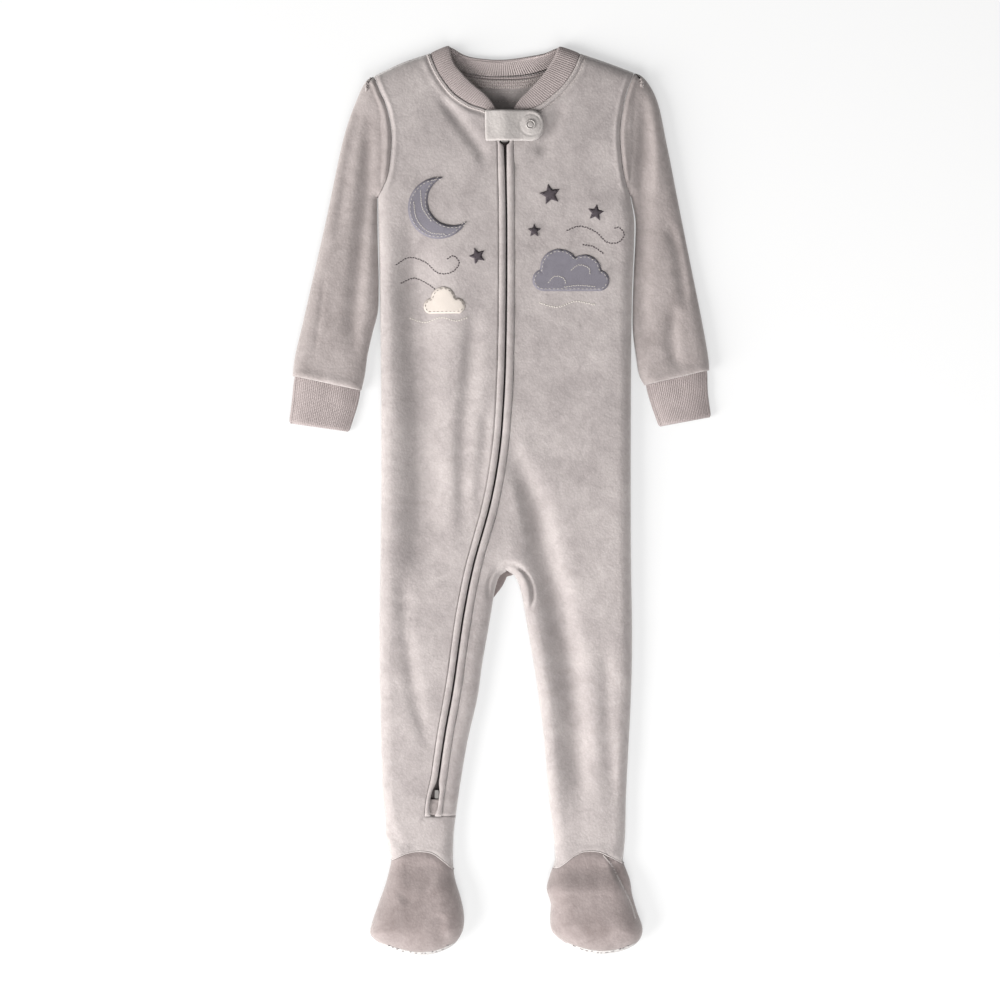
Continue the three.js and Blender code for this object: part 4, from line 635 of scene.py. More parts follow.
def ribGroup():
    # knitted loops along each rib, on the piece's own UV map, in millimetres, with a painted highlight on
    # each rib's crest and painted shade in the valleys between ribs
    group, entry, outlet = newGroup("ribLoops", [
        ("UV", "NodeSocketVector", None), ("Vector", "NodeSocketVector", None),
        ("Dark", "NodeSocketColor", (0.2, 0.2, 0.2, 1)), ("Light", "NodeSocketColor", (0.5, 0.5, 0.5, 1))],
        [("Color", "NodeSocketColor"), ("Height", "NodeSocketFloat")])
    parts = addNode(group, "ShaderNodeSeparateXYZ", None, {0: entry.outputs["UV"]})
    across = arithmetic(group, "MULTIPLY", parts.outputs["X"], math.tau)
    # ridge is lighter on each rib's crest and darker between ribs: painted light and shade over the modelled
    # ribs
    ridge = arithmetic(group, "MULTIPLY_ADD", arithmetic(group, "COSINE", across), 0.5, 0.5)
    half = arithmetic(group, "MULTIPLY", across, 0.5)
    slant = arithmetic(group, "ABSOLUTE", arithmetic(group, "SINE", half))
    lean = arithmetic(group, "MULTIPLY", slant, 2.2)
    rows = arithmetic(group, "MULTIPLY_ADD", parts.outputs["Y"], math.tau / 1.3, lean)
    loops = arithmetic(group, "MULTIPLY_ADD", arithmetic(group, "SINE", rows), 0.5, 0.5)
    fuzz = noiseOf(group, entry.outputs["Vector"], 900.0, 3.0, 0.6)
    patches = noiseOf(group, entry.outputs["Vector"], 60.0, 2.0, 0.5)
    tone = arithmetic(group, "MULTIPLY_ADD", loops, 0.18, arithmetic(group, "MULTIPLY", fuzz, 0.55))
    tone = arithmetic(group, "MULTIPLY_ADD", patches, 0.3, tone)
    # the painted rib light and shade goes into the tone here
    tone = arithmetic(group, "MULTIPLY_ADD", ridge, 0.4, arithmetic(group, "SUBTRACT", tone, 0.25))
    clipped = addNode(group, "ShaderNodeClamp", None, {"Value": tone}).outputs[0]
    shade = blend(group, clipped, entry.outputs["Dark"], entry.outputs["Light"])
    group.links.new(shade, outlet.inputs["Color"])
    group.links.new(arithmetic(group, "MULTIPLY_ADD", fuzz, 0.5, loops), outlet.inputs["Height"])
    return group


pile = plushGroup()
felt = feltGroup()
ribs = ribGroup()


def clothMaterial(name, group, values, bumpHeight, sheen=0.0, roughness=0.95, usesUv=False):
    material = bpy.data.materials.new(name)
    material.use_nodes = True
    tree = material.node_tree
    shader = tree.nodes["Principled BSDF"]
    where = addNode(tree, "ShaderNodeTexCoord")
    pattern = addNode(tree, "ShaderNodeGroup")
    pattern.node_tree = group
    tree.links.new(where.outputs["Object"], pattern.inputs["Vector"])
    if usesUv:
        tree.links.new(where.outputs["UV"], pattern.inputs["UV"])
    for key, value in values.items():
        pattern.inputs[key].default_value = value
    tree.links.new(pattern.outputs["Color"], shader.inputs["Base Color"])
    if "Roughness" in pattern.outputs:
        tree.links.new(pattern.outputs["Roughness"], shader.inputs["Roughness"])
    else:
        shader.inputs["Roughness"].default_value = roughness
    bump = addNode(tree, "ShaderNodeBump", None, {"Height": pattern.outputs["Height"], "Strength": 1.0,
                   "Distance": bumpHeight * mm})
    tree.links.new(bump.outputs["Normal"], shader.inputs["Normal"])
    shader.inputs["Specular IOR Level"].default_value = 0.15
    shader.inputs["Sheen Weight"].default_value = sheen
    shader.inputs["Sheen Roughness"].default_value = 0.55
    shader.inputs["Sheen Tint"].default_value = (0.93, 0.9, 0.88, 1)
    return material


def plushMaterial(name, dark, light, napSheenAmount, tuftSize, bumpHeight, sheen):
    values = {"Dark": colour(*dark), "Light": colour(*light), "Nap Sheen Patches": napSheenAmount, "Tuft Size": tuftSize}
    return clothMaterial(name, pile, values, bumpHeight, sheen)


def feltMaterial(name, base, contrast, bumpHeight, roughness=0.95):
    return clothMaterial(name, felt, {"Base": colour(*base), "Contrast": contrast}, bumpHeight, 0, roughness)


plushBody = plushMaterial("plushBody", (127, 120, 119), (157, 150, 148), 1.1, 1.0, 0.28, 0.6)
# lighter plush for the raised strips along the neck and vamp seams and the left foot's fold: the strips stand
# up as real ridges, and their lighter tone is a painted highlight
plushEdgingAndHighlight = plushMaterial("plushEdgingAndHighlight", (136, 129, 127), (160, 153, 151), 0.6, 1.4, 0.2, 0.5)
plushSleeve = plushMaterial("plushSleeve", (118, 110, 108), (147, 139, 137), 1.1, 1.0, 0.28, 0.6)
plushVamp = plushMaterial("plushVamp", (103, 93, 91), (131, 121, 119), 1.2, 0.95, 0.28, 0.5)
plushGuard = plushMaterial("plushGuard", (138, 132, 130), (166, 161, 158), 0.9, 0.8, 0.35, 0.5)
ribKnit = clothMaterial("ribKnit", ribs, {"Dark": colour(108, 99, 98), "Light": colour(173, 162, 160)}, 0.12,
                        sheen=0.25, usesUv=True)
soleCloth = feltMaterial("soleCloth", (166, 163, 161), 0.18, 0.2)
slateFelt = feltMaterial("slateFelt", (106, 103, 110), 0.34, 0.28)
charcoalFelt = feltMaterial("charcoalFelt", (68, 62, 66), 0.4, 0.28)
creamFelt = feltMaterial("creamFelt", (176, 168, 161), 0.25, 0.28)
creamThread = feltMaterial("creamThread", (184, 178, 170), 0.3, 0.1, 0.7)
darkThread = feltMaterial("darkThread", (68, 61, 63), 0.3, 0.1, 0.7)
taupeThread = feltMaterial("taupeThread", (178, 170, 166), 0.3, 0.1, 0.7)
gripPrint = feltMaterial("gripPrint", (112, 108, 108), 0.15, 0.05, 0.6)
zipWeave = feltMaterial("zipWeave", (78, 72, 72), 0.3, 0.15, 0.8)
coilNylon = feltMaterial("coilNylon", (66, 61, 61), 0.15, 0.05, 0.45)


def metalMaterial(name, tint, roughness, metallic):
    material = bpy.data.materials.new(name)
    material.use_nodes = True
    tree = material.node_tree
    shader = tree.nodes["Principled BSDF"]
    where = addNode(tree, "ShaderNodeTexCoord").outputs["Object"]
    wear = noiseOf(tree, where, 900.0, 3.0, 0.6)
    shader.inputs["Metallic"].default_value = metallic
    dull = tuple(v * 0.8 for v in tint[:3]) + (1,)
    tree.links.new(blend(tree, wear, dull, tint), shader.inputs["Base Color"])
    tree.links.new(arithmetic(tree, "MULTIPLY_ADD", wear, 0.2, roughness - 0.1), shader.inputs["Roughness"])
    bump = addNode(tree, "ShaderNodeBump", None, {"Height": wear, "Strength": 0.4, "Distance": 0.03 * mm})
    tree.links.new(bump.outputs["Normal"], shader.inputs["Normal"])
    return material


zipMetal = metalMaterial("zipMetal", colour(132, 129, 127), 0.42, 0.6)
snapEnamel = metalMaterial("snapEnamel", colour(158, 153, 150), 0.42, 0.12)
print("materials")

# Front panels
front = {"rows": {"side": 301, "torso": 182, "strip": 119, "leg": 131}, "upperRows": 54,
         "cells": {"body": 50, "strip": 14, "leg": 62}, "crotchShare": 0.84, "vampShare": 0.56,
         "ankleCells": 26, "ankleRows": {"r": 20, "l": 12}, "ankleTop": -300, "relaxOver": 70}


def edgeSpots(path, high, low, rows):
    return np.array([(xAt(path, y), y) for y in np.linspace(high, low, rows)])


def shoulderPath(side):
    path = paths["shoulder" + side.upper()]
    return path if side == "r" else path[::-1]


def upperPatch(side, inner, bottomRow):
    # shoulder to underarm: the armhole on one side, the neckline and the zip on the other
    rows = front["upperRows"]
    left = spaced(armholePaths[side], rows)
    right = inner if len(inner) == rows + 1 else spaced(inner, rows)
    bottom = bottomRow(left[-1], right[-1])
    count = len(bottom) - 1
    top = spaced(shoulderPath(side), count)
    top[0], top[-1] = left[0], right[0]
    # the spacing of the bottom row fades in from the shoulder down
    share = along(bottom) / lengthOf(bottom)
    even = np.linspace(0, 1, count + 1)
    patch = coons(top, spaced(np.array([left[-1], right[-1]]), count), left, right)
    for i in range(rows + 1):
        t = even + (share - even) * (i / rows) ** 2
        patch[i] = np.stack([np.interp(t, even, patch[i][:, k]) for k in (0, 1)], axis=1)
    patch[-1] = bottom
    return patch


def innerLine(side, low):
    # down the neckline to the zip, and on beside it
    ys = np.linspace(334.5, low, 40)
    beside = np.stack([panelEdge(side, ys), ys], axis=1)
    seam = neckSeamPaths[side]
    seam = seam[seam[:, 1] > 336]
    keep = seam[(seam[:, 0] - beside[0, 0]) * turnOf[side] > 0]
    return np.concatenate([keep, beside])


def vampRow(side, shares, lift):
    seam = smoothPath(vampSeams[side], 160)
    row = pointsAt(seam, lengthOf(seam) * shares)
    foot = paths["foot" + side.upper()]
    row[0, 0] = xAt(foot[-len(foot) // 3:], row[0, 1] + lift)
    row[-1, 0] = xAt(foot[:len(foot) // 3], row[-1, 1] + lift)
    return row + (0, lift)


def frontPanelR():
    bm = bmesh.new()
    cells = (front["cells"]["body"], 8, 0)
    upper = upperPatch("r", innerLine("r", underarm["r"][1]), lambda a, b: acrossRow(a, b, *cells))
    ys = np.linspace(underarm["r"][1], zipBottom, front["rows"]["side"])
    lower = np.array([acrossRow((xAt(paths["sideR"], y), y), (panelEdge("r", y), y), *cells) for y in ys])
    columns = lower.shape[1]
    ankleCells = front["ankleCells"]
    shares = np.concatenate([np.linspace(0, front["vampShare"], columns),
                             np.linspace(front["vampShare"], 1, ankleCells)[1:]])
    seam = vampRow("r", shares, 0.15)
    rows = front["ankleRows"]["r"]
    inside = (xAt(paths["innerLegR"], zipBottom - 0.6), zipBottom - 0.6)
    belowZip = acrossRow((panelEdge("r", zipBottom), zipBottom), inside, ankleCells - 8, 0, 8)
    start = np.concatenate([lower[-1], belowZip[1:]])[:len(seam)]
    seam = seam[:len(start)]
    left = edgeSpots(paths["sideR"], zipBottom, seam[0, 1], rows)
    innerEdge = np.concatenate([paths["innerLegR"], paths["footR"][:40]])
    right = edgeSpots(innerEdge, start[-1, 1], seam[-1, 1], rows)
    left[-1], right[-1], right[0] = seam[0], seam[-1], start[-1]
    ankle = coons(start, seam, left, right)
    for patch in (upper, lower, ankle):
        addGrid(bm, onHeight(patch, bodyHeight))
    return finishSheet("frontPanelR", bm, plushBody, body["wall"])


def frontPanelL():
    bm = bmesh.new()
    legCells = (front["cells"]["leg"], 8, 5)
    stripCells = (front["cells"]["strip"], 5, 0)

    def torsoRow(outer, inner, relaxStart, relaxEnd):
        split = between(outer, inner, front["crotchShare"])
        leg = acrossRow(outer, split, *legCells, relaxStart, relaxEnd)
        strip = acrossRow(split, inner, *stripCells, relaxEnd, relaxEnd)
        return np.concatenate([leg, strip[1:]])

    outerAt = lambda y: (xAt(paths["sideL"], y), y)
    zipAt = lambda y: (panelEdge("l", y), y)
    upper = upperPatch("l", innerLine("l", underarm["l"][1]), lambda a, b: torsoRow(a, b, 0, 1))
    ys = np.linspace(underarm["l"][1], crotch[1], front["rows"]["torso"])
    relax = np.clip((ys - crotch[1]) / front["relaxOver"], 0, 1)
    torso = np.array([torsoRow(outerAt(y), zipAt(y), 0, r) for y, r in zip(ys, relax)])
    leg = acrossRow(outerAt(crotch[1]), crotch, *legCells)
    strip = acrossRow(crotch, zipAt(crotch[1]), *stripCells)
    torso[-1] = np.concatenate([leg, strip[1:]])
    stripYs = np.linspace(crotch[1], zipBottom, front["rows"]["strip"])
    strips = np.array([strip] + [acrossRow((xAt(paths["innerLegR"], y), y), zipAt(y), *stripCells)
                                 for y in stripYs[1:]])
    seam = vampRow("l", np.linspace(0, 1, len(leg)), 0.15)
    seam = seam[::-1]
    legYs = np.linspace(crotch[1], front["ankleTop"], front["rows"]["leg"])
    legs = [leg] + [acrossRow(outerAt(y), (xAt(paths["innerLegL"], y), y), *legCells) for y in legYs[1:]]
    ankleRows = front["ankleRows"]["l"]
    outerEdge = np.concatenate([paths["sideL"], paths["footL"][:30]])
    innerEdge = np.concatenate([paths["footL"][-30:], paths["innerLegL"]])
    ends = edgeSpots(outerEdge, front["ankleTop"], seam[0, 1], ankleRows)
    starts = edgeSpots(innerEdge, front["ankleTop"], seam[-1, 1], ankleRows)
    ends[0], starts[0], ends[-1], starts[-1] = legs[-1][0], legs[-1][-1], seam[0], seam[-1]
    ankle = coons(legs[-1], seam, ends, starts)
    for patch in (upper, torso, strips, np.array(legs), ankle):
        addGrid(bm, onHeight(patch, bodyHeight))
    return finishSheet("frontPanelL", bm, plushBody, body["wall"])


panelR = frontPanelR()
panelL = frontPanelL()
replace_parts(panelR, "front_panel_r")
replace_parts(panelL, "front_panel_l")
print("front panels", len(panelR.data.polygons), len(panelL.data.polygons))

# Back panel
backForm = {"rows": {"torso": 82, "leg": 72}, "cells": 16, "middle": 3.0, "low": 266}


def backPanel():
    bm = bmesh.new()
    for side in "rl":
        seam = smoothPath(backNeckSeam, 128)
        half = seam[:65] if side == "r" else seam[64:][::-1]
        middleYs = np.linspace(half[-1, 1], backForm["low"], 31)
        middle = np.stack([np.full(31, backForm["middle"]), middleYs], axis=1)
        inner = np.concatenate([spaced(half, 24)[:-1], middle])
        cells = (backForm["cells"], 7, 0)
        upper = upperPatch(side, inner, lambda a, b: acrossRow(a, b, *cells))
        edge = paths["side" + side.upper()]
        innerLeg = paths["innerLeg" + side.upper()]
        top = upper[-1, 0, 1]
        ys = np.linspace(backForm["low"], crotch[1], backForm["rows"]["torso"])
        centre = lambda y: between((backForm["middle"], backForm["low"]), crotch,
                                   (backForm["low"] - y) / (backForm["low"] - crotch[1]))
        torso = np.array([acrossRow((xAt(edge, max(min(y, top), -400)), y), centre(y), *cells) for y in ys])
        torso[0] = upper[-1]
        torso[-1] = acrossRow((xAt(edge, crotch[1]), crotch[1]), crotch, *cells)
        legYs = np.linspace(crotch[1], heelSeamY + 1, backForm["rows"]["leg"])
        foot = paths["foot" + side.upper()]
        half = len(foot) // 3
        outerFoot, innerFoot = (foot[-half:], foot[:half]) if side == "r" else (foot[:half], foot[-half:])
        outerEdge = np.concatenate([edge, outerFoot])
        innerEdge = np.concatenate([innerLeg, innerFoot])
        legCells = (backForm["cells"] - 5, 7, 5)
        legs = [acrossRow((xAt(outerEdge, y), y), (xAt(innerEdge, y), y), *legCells) for y in legYs]
        legs[0] = torso[-1]
        for patch in (upper, torso, np.array(legs)):
            addGrid(bm, onHeight(patch, backHeight), faceUp=False)
    return finishSheet("backPanel", bm, plushBody, body["wall"])


back = backPanel()
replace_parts(back, "back_panel")
print("back panel", len(back.data.polygons))

# Feet
footForm = {"rings": 34, "soleRings": 20, "centre": {"r": (-72, -362), "l": (82, -360)}}


def ringsOf(boundary, centre, rings, reach=1.0):
    # rings that run in from the outline, close together at its rounded edge
    outward = boundary - np.array(centre)
    far = np.hypot(*outward.T)
    shares = []
    for distance in far:
        first = np.concatenate([[0], edgeSteps / distance])
        rest = np.linspace(first[-1], reach, rings - len(first) + 1)[1:]
        shares.append(np.concatenate([first, rest]))
    shares = np.array(shares)
    return boundary[None] - outward[None] * shares.T[..., None]


def footBoundary(side, seam):
    foot = spaced(paths["foot" + side.upper()], 220)
    toe = foot[foot[:, 1] < min(seam[0, 1], seam[-1, 1]) - 1.2]
    loop = np.concatenate([toe, seam])
    return np.concatenate([loop, loop[:1]])


def vamp(side):
    bm = bmesh.new()
    seam = vampRow(side, np.linspace(0, 1, 70), -0.15)
    boundary = footBoundary(side, seam)
    addGrid(bm, onHeight(ringsOf(boundary, footForm["centre"][side], footForm["rings"]), bodyHeight))
    return finishSheet("vamp" + side.upper(), bm, plushVamp, body["wall"])


def sole(side):
    bm = bmesh.new()
    foot = spaced(paths["foot" + side.upper()], 220)
    toe = foot[foot[:, 1] < heelSeamY]
    heel = spaced(np.array([toe[-1], toe[0]]), 40)[1:-1]
    boundary = np.concatenate([toe, heel, toe[:1]])
    places = ringsOf(boundary, footForm["centre"][side], footForm["soleRings"])
    addGrid(bm, onHeight(places, backHeight), faceUp=False)
    return finishSheet("sole" + side.upper(), bm, soleCloth, body["wall"])


for side in "rl":
    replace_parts(vamp(side), "vamp_" + side)
    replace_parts(sole(side), "sole_" + side)
print("feet")

# Sleeves
sleeveEdges = {
    "r": [sleevePaths["outerR"], sleevePaths["innerR"] + (-0.45, 0)],
    "l": [sleevePaths["outerL"], sleevePaths["innerL"] + (0.45, 0)],
}
hemForm = {"rise": 0.9, "at": 3.5, "width": 3.0, "sink": 0.8, "sinkReach": 0.9}
sleeveLumps = [{"rise": 0.5, "size": 24, "seed": 5.3}, {"rise": 0.22, "size": 9, "seed": 1.9}]


def sleeveTop(side):
    capFold = paths["capFold" + side.upper()]
    hem = np.array([sleeveHem[side]["outer"], sleeveHem[side]["inner"]], float)

    def height(x, y):
        distance = distanceTo(sleeveEdges[side], x, y)[0]
        rise = rounded(distance / sleeveForm["rounding"])
        own = sleeveForm["seam"] + (sleeveForm["crown"] - sleeveForm["seam"]) * rise
        own += sleeveForm["fullness"] * (1 - np.exp(-distance / body["reach"]))
        own += rise * creaseHeight(sleeveCreases[side], x, y)
        own += rise * uneven(sleeveLumps, x, y)
        toHem = distanceTo([hem], x, y)[0]
        own += rise * hemForm["rise"] * np.exp(-(((toHem - hemForm["at"]) / hemForm["width"]) ** 2))
        own -= rise * hemForm["sink"] * np.exp(-toHem / hemForm["sinkReach"])
        onCap = (y > underarm[side][1]) & ((xAt(capFold, y) - x) * turnOf[side] > 0) & (distance > 0.04)
        return np.where(onCap, np.maximum(own, bodyHeight(x, y)), own)
    return height


def sleeveUnder(side):
    def height(x, y):
        distance = distanceTo(sleeveEdges[side], x, y)[0]
        return sleeveForm["seam"] * (1 - rounded(distance / body["backCurl"]))
    return height


def sleeve(side):
    bm = bmesh.new()
    downward = lambda path: path if path[0, 1] > path[-1, 1] else path[::-1]
    outer, inner = [downward(path) for path in sleeveEdges[side]]
    fold = downward(paths["capFold" + side.upper()])
    armhole = armholePaths[side] + (turnOf[side] * 0.3, 0)
    capRows, lowerRows, cells = sleeveForm["capRows"], sleeveForm["lowerRows"], sleeveForm["cells"]
    outerLength, capOuter = lengthOf(outer), lengthOf(outer) * sleeveForm["capShare"]
    shares = np.linspace(0, 1, capRows + 1)
    outers = pointsAt(outer, capOuter * shares)
    folds = pointsAt(fold, 2 + (lengthOf(fold) - 2) * shares)
    seams = pointsAt(armhole, lengthOf(armhole) * shares)
    folds[0] = seams[0] = outers[0]
    folds[-1] = seams[-1] = inner[0]
    cap = np.array([np.concatenate([acrossRow(outers[i], folds[i], *cells, 0, 1 - shares[i]),
                    [between(folds[i], seams[i], t) for t in np.linspace(0, 1, 13)[1:]]])
                    for i in range(capRows + 1)])
    spots = cap.shape[1] - 12
    lowerShares = np.linspace(0, 1, lowerRows + 1)
    outers = pointsAt(outer, capOuter + (outerLength - capOuter) * lowerShares)
    inners = pointsAt(inner, lengthOf(inner) * lowerShares)
    lower = np.array([acrossRow(a, b, *cells) for a, b in zip(outers, inners)])
    lower[0] = cap[-1, :spots]
    for height, faceUp in ((sleeveTop(side), True), (sleeveUnder(side), False)):
        addGrid(bm, onHeight(cap, height), faceUp)
        addGrid(bm, onHeight(lower, height), faceUp)
    return finishSheet("sleeve" + side.upper(), bm, plushSleeve, sleeveForm["wall"])


sleeves = {}
for side in "rl":
    sleeves[side] = sleeve(side)
    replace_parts(sleeves[side], "sleeve_" + side)
print("sleeves", len(sleeves["r"].data.polygons))


# Rib knit: cuffs and neckband
ribForm = {"pitch": 1.9, "depth": 0.4, "perRib": 6, "wall": 1.8}


def ribLift(phase):
    # round ribs with narrow valleys between them
    return ribForm["depth"] * (np.abs(np.sin(np.pi * phase)) ** 0.6 - 1)


cuffForm = {
    "r": {"outer": [(-182, 107.6), (-183.6, 88), (-186.3, 67.3)],
          "inner": [(-122.6, 95.3), (-125.4, 83.6), (-133, 59.6)], "ribs": 69},
    "l": {"outer": [(183.4, 112.8), (183.2, 96.8), (186.2, 72.8)],
          "inner": [(128, 100.1), (133, 84), (140, 64.2)], "ribs": 67},
    "height": 9.6, "edge": 5.4, "rows": 26, "gather": 0.5, "gatherReach": 0.12, "rim": 0.9, "rimFrom": 0.93,
    "rimOver": 0.07, "lumps": [{"rise": 0.45, "size": 13, "seed": 4.4}], "stitchRows": 40,
}


def ringSection(share, half, height, edge):
    # flattened ring: straight at the bottom, bowed at the top, round at its two folded edges
    radius = edge / 2
    straight, turn = 2 * (half - radius), math.pi * radius
    reach = share * 2 * (straight + turn)
    corners = [straight, straight + turn, 2 * straight + turn]
    part = np.searchsorted(corners, reach, side="right") if np.ndim(reach) else 0
    parts = [part == 0, part == 1, part == 2]
    angles = [np.pi / 2, np.pi / 2 - (reach - corners[0]) / radius, -np.pi / 2]
    angle = np.select(parts, angles, -np.pi / 2 - (reach - corners[2]) / radius)
    middles = [reach - straight / 2, straight / 2, straight / 2 - (reach - corners[1])]
    middle = np.select(parts, middles, -straight / 2)
    outX, outZ = np.cos(angle) * (part % 2), np.sin(angle)
    bowed = (part == 0) * (height - edge) * (1 - np.minimum(np.abs(middle) / (straight / 2), 1) ** 3.5)
    return middle + radius * outX, radius + radius * outZ + bowed, outX, outZ


def cuffEdge(path, t):
    # a spot on the cuff's edge, which runs on a little under the sleeve's hem
    return pointsAt(path, np.array([lengthOf(path) * max(t, 0)]))[0] + (path[0] - path[3]) * max(-t, 0) * 12


def cuff(side):
    form = cuffForm[side]
    outer, inner = smoothPath(form["outer"], 40), smoothPath(form["inner"], 40)
    columns = form["ribs"] * ribForm["perRib"]
    share = np.linspace(0, 1, columns + 1)[:-1]
    places, uv = [], []
    for t in np.linspace(-0.05, 1, cuffForm["rows"]):
        a, b = cuffEdge(outer, t), cuffEdge(inner, t)
        width = np.hypot(*(b - a))
        gathered = cuffForm["gather"] * np.exp(-max(t, 0) / cuffForm["gatherReach"])
        rim = cuffForm["rim"] * max(0, (t - cuffForm["rimFrom"]) / cuffForm["rimOver"]) ** 2
        half = width / 2 - gathered * 0.6 - rim * 0.3
        middle, z, outX, outZ = ringSection(share, half, cuffForm["height"], cuffForm["edge"])
        lift = ribLift(share * form["ribs"]) - rim - gathered
        across = (b - a) / width
        spot = (a + b) / 2 + across * (middle + outX * lift)[:, None]
        height = z + outZ * lift
        height += (height > cuffForm["edge"] / 2) * uneven(cuffForm["lumps"], spot[:, 0], spot[:, 1])
        places.append(lifted(spot, np.maximum(height, 0)))
        uv.append(np.stack([share * form["ribs"], np.full(columns, t * cuffForm["stitchRows"])], axis=1))
    places, uv = np.array(places), np.array(uv)
    places = np.concatenate([places, places[:, :1]], axis=1)
    uv = np.concatenate([uv, uv[:, :1] + (form["ribs"], 0)], axis=1)
    bm = bmesh.new()
    # the ring's two sides cancel out in the turn test, and this order faces it outward
    addGrid(bm, places, False, uv)
    return finishSheet("cuff" + side.upper(), bm, ribKnit, ribForm["wall"], merge=0.005)


bandForm = {"rows": [(0, -1.1), (0.02, -0.5), (0.06, 0.0), (0.14, 0.3), (0.3, 0.5), (0.5, 0.55), (0.7, 0.5),
                     (0.84, 0.35), (0.93, 0.05), (0.98, -0.45), (1.0, -1.1)],
            "stitchRows": 17}


def bandSections(seam, edge, until, height):
    near = np.linspace(0, 15, 12)
    far = np.linspace(0, 1, 36)[1:]
    spots = []
    for path in (seam, edge):
        reach = lengthOf(path) * until
        places = pointsAt(path, np.concatenate([near, 15 + (reach - 15) * far]))
        spots.append(onHeight(places, height))
    return np.stack(spots, axis=1)


def neckband():
    plainBody = lambda x, y: bodyHeight(x, y, False)
    backSeam, backEdge = smoothPath(backNeckSeam, 128), smoothPath(backNeckEdge, 128)
    fronts = {side: bandSections(neckSeamPaths[side], smoothPath(neckEdges[side]), 1, plainBody)
              for side in "rl"}
    backR = bandSections(backSeam, backEdge, 0.5, backHeight)
    backL = bandSections(backSeam[::-1], backEdge[::-1], 0.5, backHeight)
    sections = np.concatenate([fronts["r"][::-1], backR[1:], backL[::-1][1:-1], fronts["l"]])
    middles = sections.mean(1)
    gaps = np.linalg.norm(np.diff(middles, axis=0), axis=1)
    reach = np.concatenate([[0], np.cumsum(gaps)])
    runs = np.gradient(middles, axis=0)
    normals = np.cross(sections[:, 1] - sections[:, 0], runs)
    normals /= np.linalg.norm(normals, axis=1)[:, None]
    count = int(round(reach[-1] / ribForm["pitch"]))
    stations = np.linspace(0, reach[-1], count * ribForm["perRib"] + 1)
    take = lambda values: np.stack([np.interp(stations, reach, values[:, i]) for i in range(3)], axis=1)
    seams, edges, outs = take(sections[:, 0]), take(sections[:, 1]), take(normals)
    weights = np.hanning(27)[1:-1] / np.hanning(27).sum()
    soft = np.stack([np.convolve(np.pad(outs[:, i], 12, "edge"), weights, "valid") for i in range(3)], axis=1)
    outs = soft / np.linalg.norm(soft, axis=1)[:, None]
    phase = stations / reach[-1] * count
    lift = ribLift(phase)
    places, uv = [], []
    marks, depths = zip(*bandForm["rows"])
    for t in np.unique(np.concatenate([np.linspace(0, 1, 15), marks])):
        depth = np.interp(t, marks, depths)
        places.append(seams + (edges - seams) * t + outs * (depth + lift)[:, None])
        uv.append(np.stack([phase, np.full(len(phase), t * bandForm["stitchRows"])], axis=1))
    bm = bmesh.new()
    places = np.array(places)
    places[..., 2] = np.maximum(places[..., 2], 0)
    addGrid(bm, places, True, np.array(uv))
    return finishSheet("ribNeckband", bm, ribKnit, ribForm["wall"], merge=0.005)


def alongSection(name, path, section, width, material, wall, base):
    # a narrow strip swept along a path, on its left hand
    rows = []
    for share, rise in section:
        spots = path + leftOf(path) * share * width
        rows.append(lifted(spots, base(spots[:, 0], spots[:, 1]) + rise))
    bm = bmesh.new()
    addGrid(bm, np.array(rows))
    finishSheet(name, bm, material, wall)


def neckEdging(side):
    plainBody = lambda x, y: bodyHeight(x, y, False)
    path = spaced(neckSeamPaths[side], 150)
    width = edgingForm["width"] * (1 if outwardLeft(path) else -1)
    # the edging stands up as a real ridge; its lighter plush is a painted highlight along it
    alongSection("neckEdging" + side.upper(), path, edgingForm["section"], width, plushEdgingAndHighlight,
                 edgingForm["wall"], plainBody)


vampHighlightForm = {
    "section": [(0, -0.7), (0.12, 0.2), (0.5, 0.5), (0.88, 0.2), (1, -0.7)], "width": 1.5, "wall": 0.4,
    "fold": [(90, -312.5), (97, -321), (103.4, -333), (109.6, -345), (115, -357), (118, -368)],
}


def vampHighlightStrips(side):
    # a thin raised strip along the vamp's seam, and on one foot along the fold that runs down from it, in
    # lighter plush as a painted highlight on the ridge
    lines = [spaced(smoothPath(vampSeams[side], 160), 90)]
    if side == "l":
        lines.append(smoothPath(vampHighlightForm["fold"], 60))
    name, section, width = "vampHighlightStrips" + side.upper(), vampHighlightForm["section"], vampHighlightForm["width"]
    for letter, path in zip("ab", lines):
        alongSection(name + letter, path, section, width, plushEdgingAndHighlight, vampHighlightForm["wall"],
                     bodyHeight)


neckMiddle = (3, 380)


def outwardLeft(path):
    # whether the left hand of the path is away from the neck's middle
    middle = len(path) // 2
    run = path[middle + 1] - path[middle - 1]
    away = path[middle] - neckMiddle
    return run[0] * away[1] - run[1] * away[0] > 0


cuffs = {}
for side in "rl":
    cuffs[side] = cuff(side)
    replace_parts(cuffs[side], "cuff_" + side)
band = neckband()
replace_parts(band, "neckband")
for side in "rl":
    neckEdging(side)
for side in "rl":
    vampHighlightStrips(side)
print("cuffs and neckband", len(cuffs["r"].data.polygons), len(band.data.polygons))

# Zip: welts, tape, coil and metal
def halfGap(y):
    # the welts part round the stop, a little towards the top, and more above the slider
    stop = weltForm["stop"]
    opening = stop["extra"] * np.exp(-(((y - stop["y"]) / stop["reach"]) ** 4))
    spread = sum(extra * smoothstep(y, start, full) for extra, start, full in weltForm["spread"])
    return weltForm["halfGap"] + opening + spread


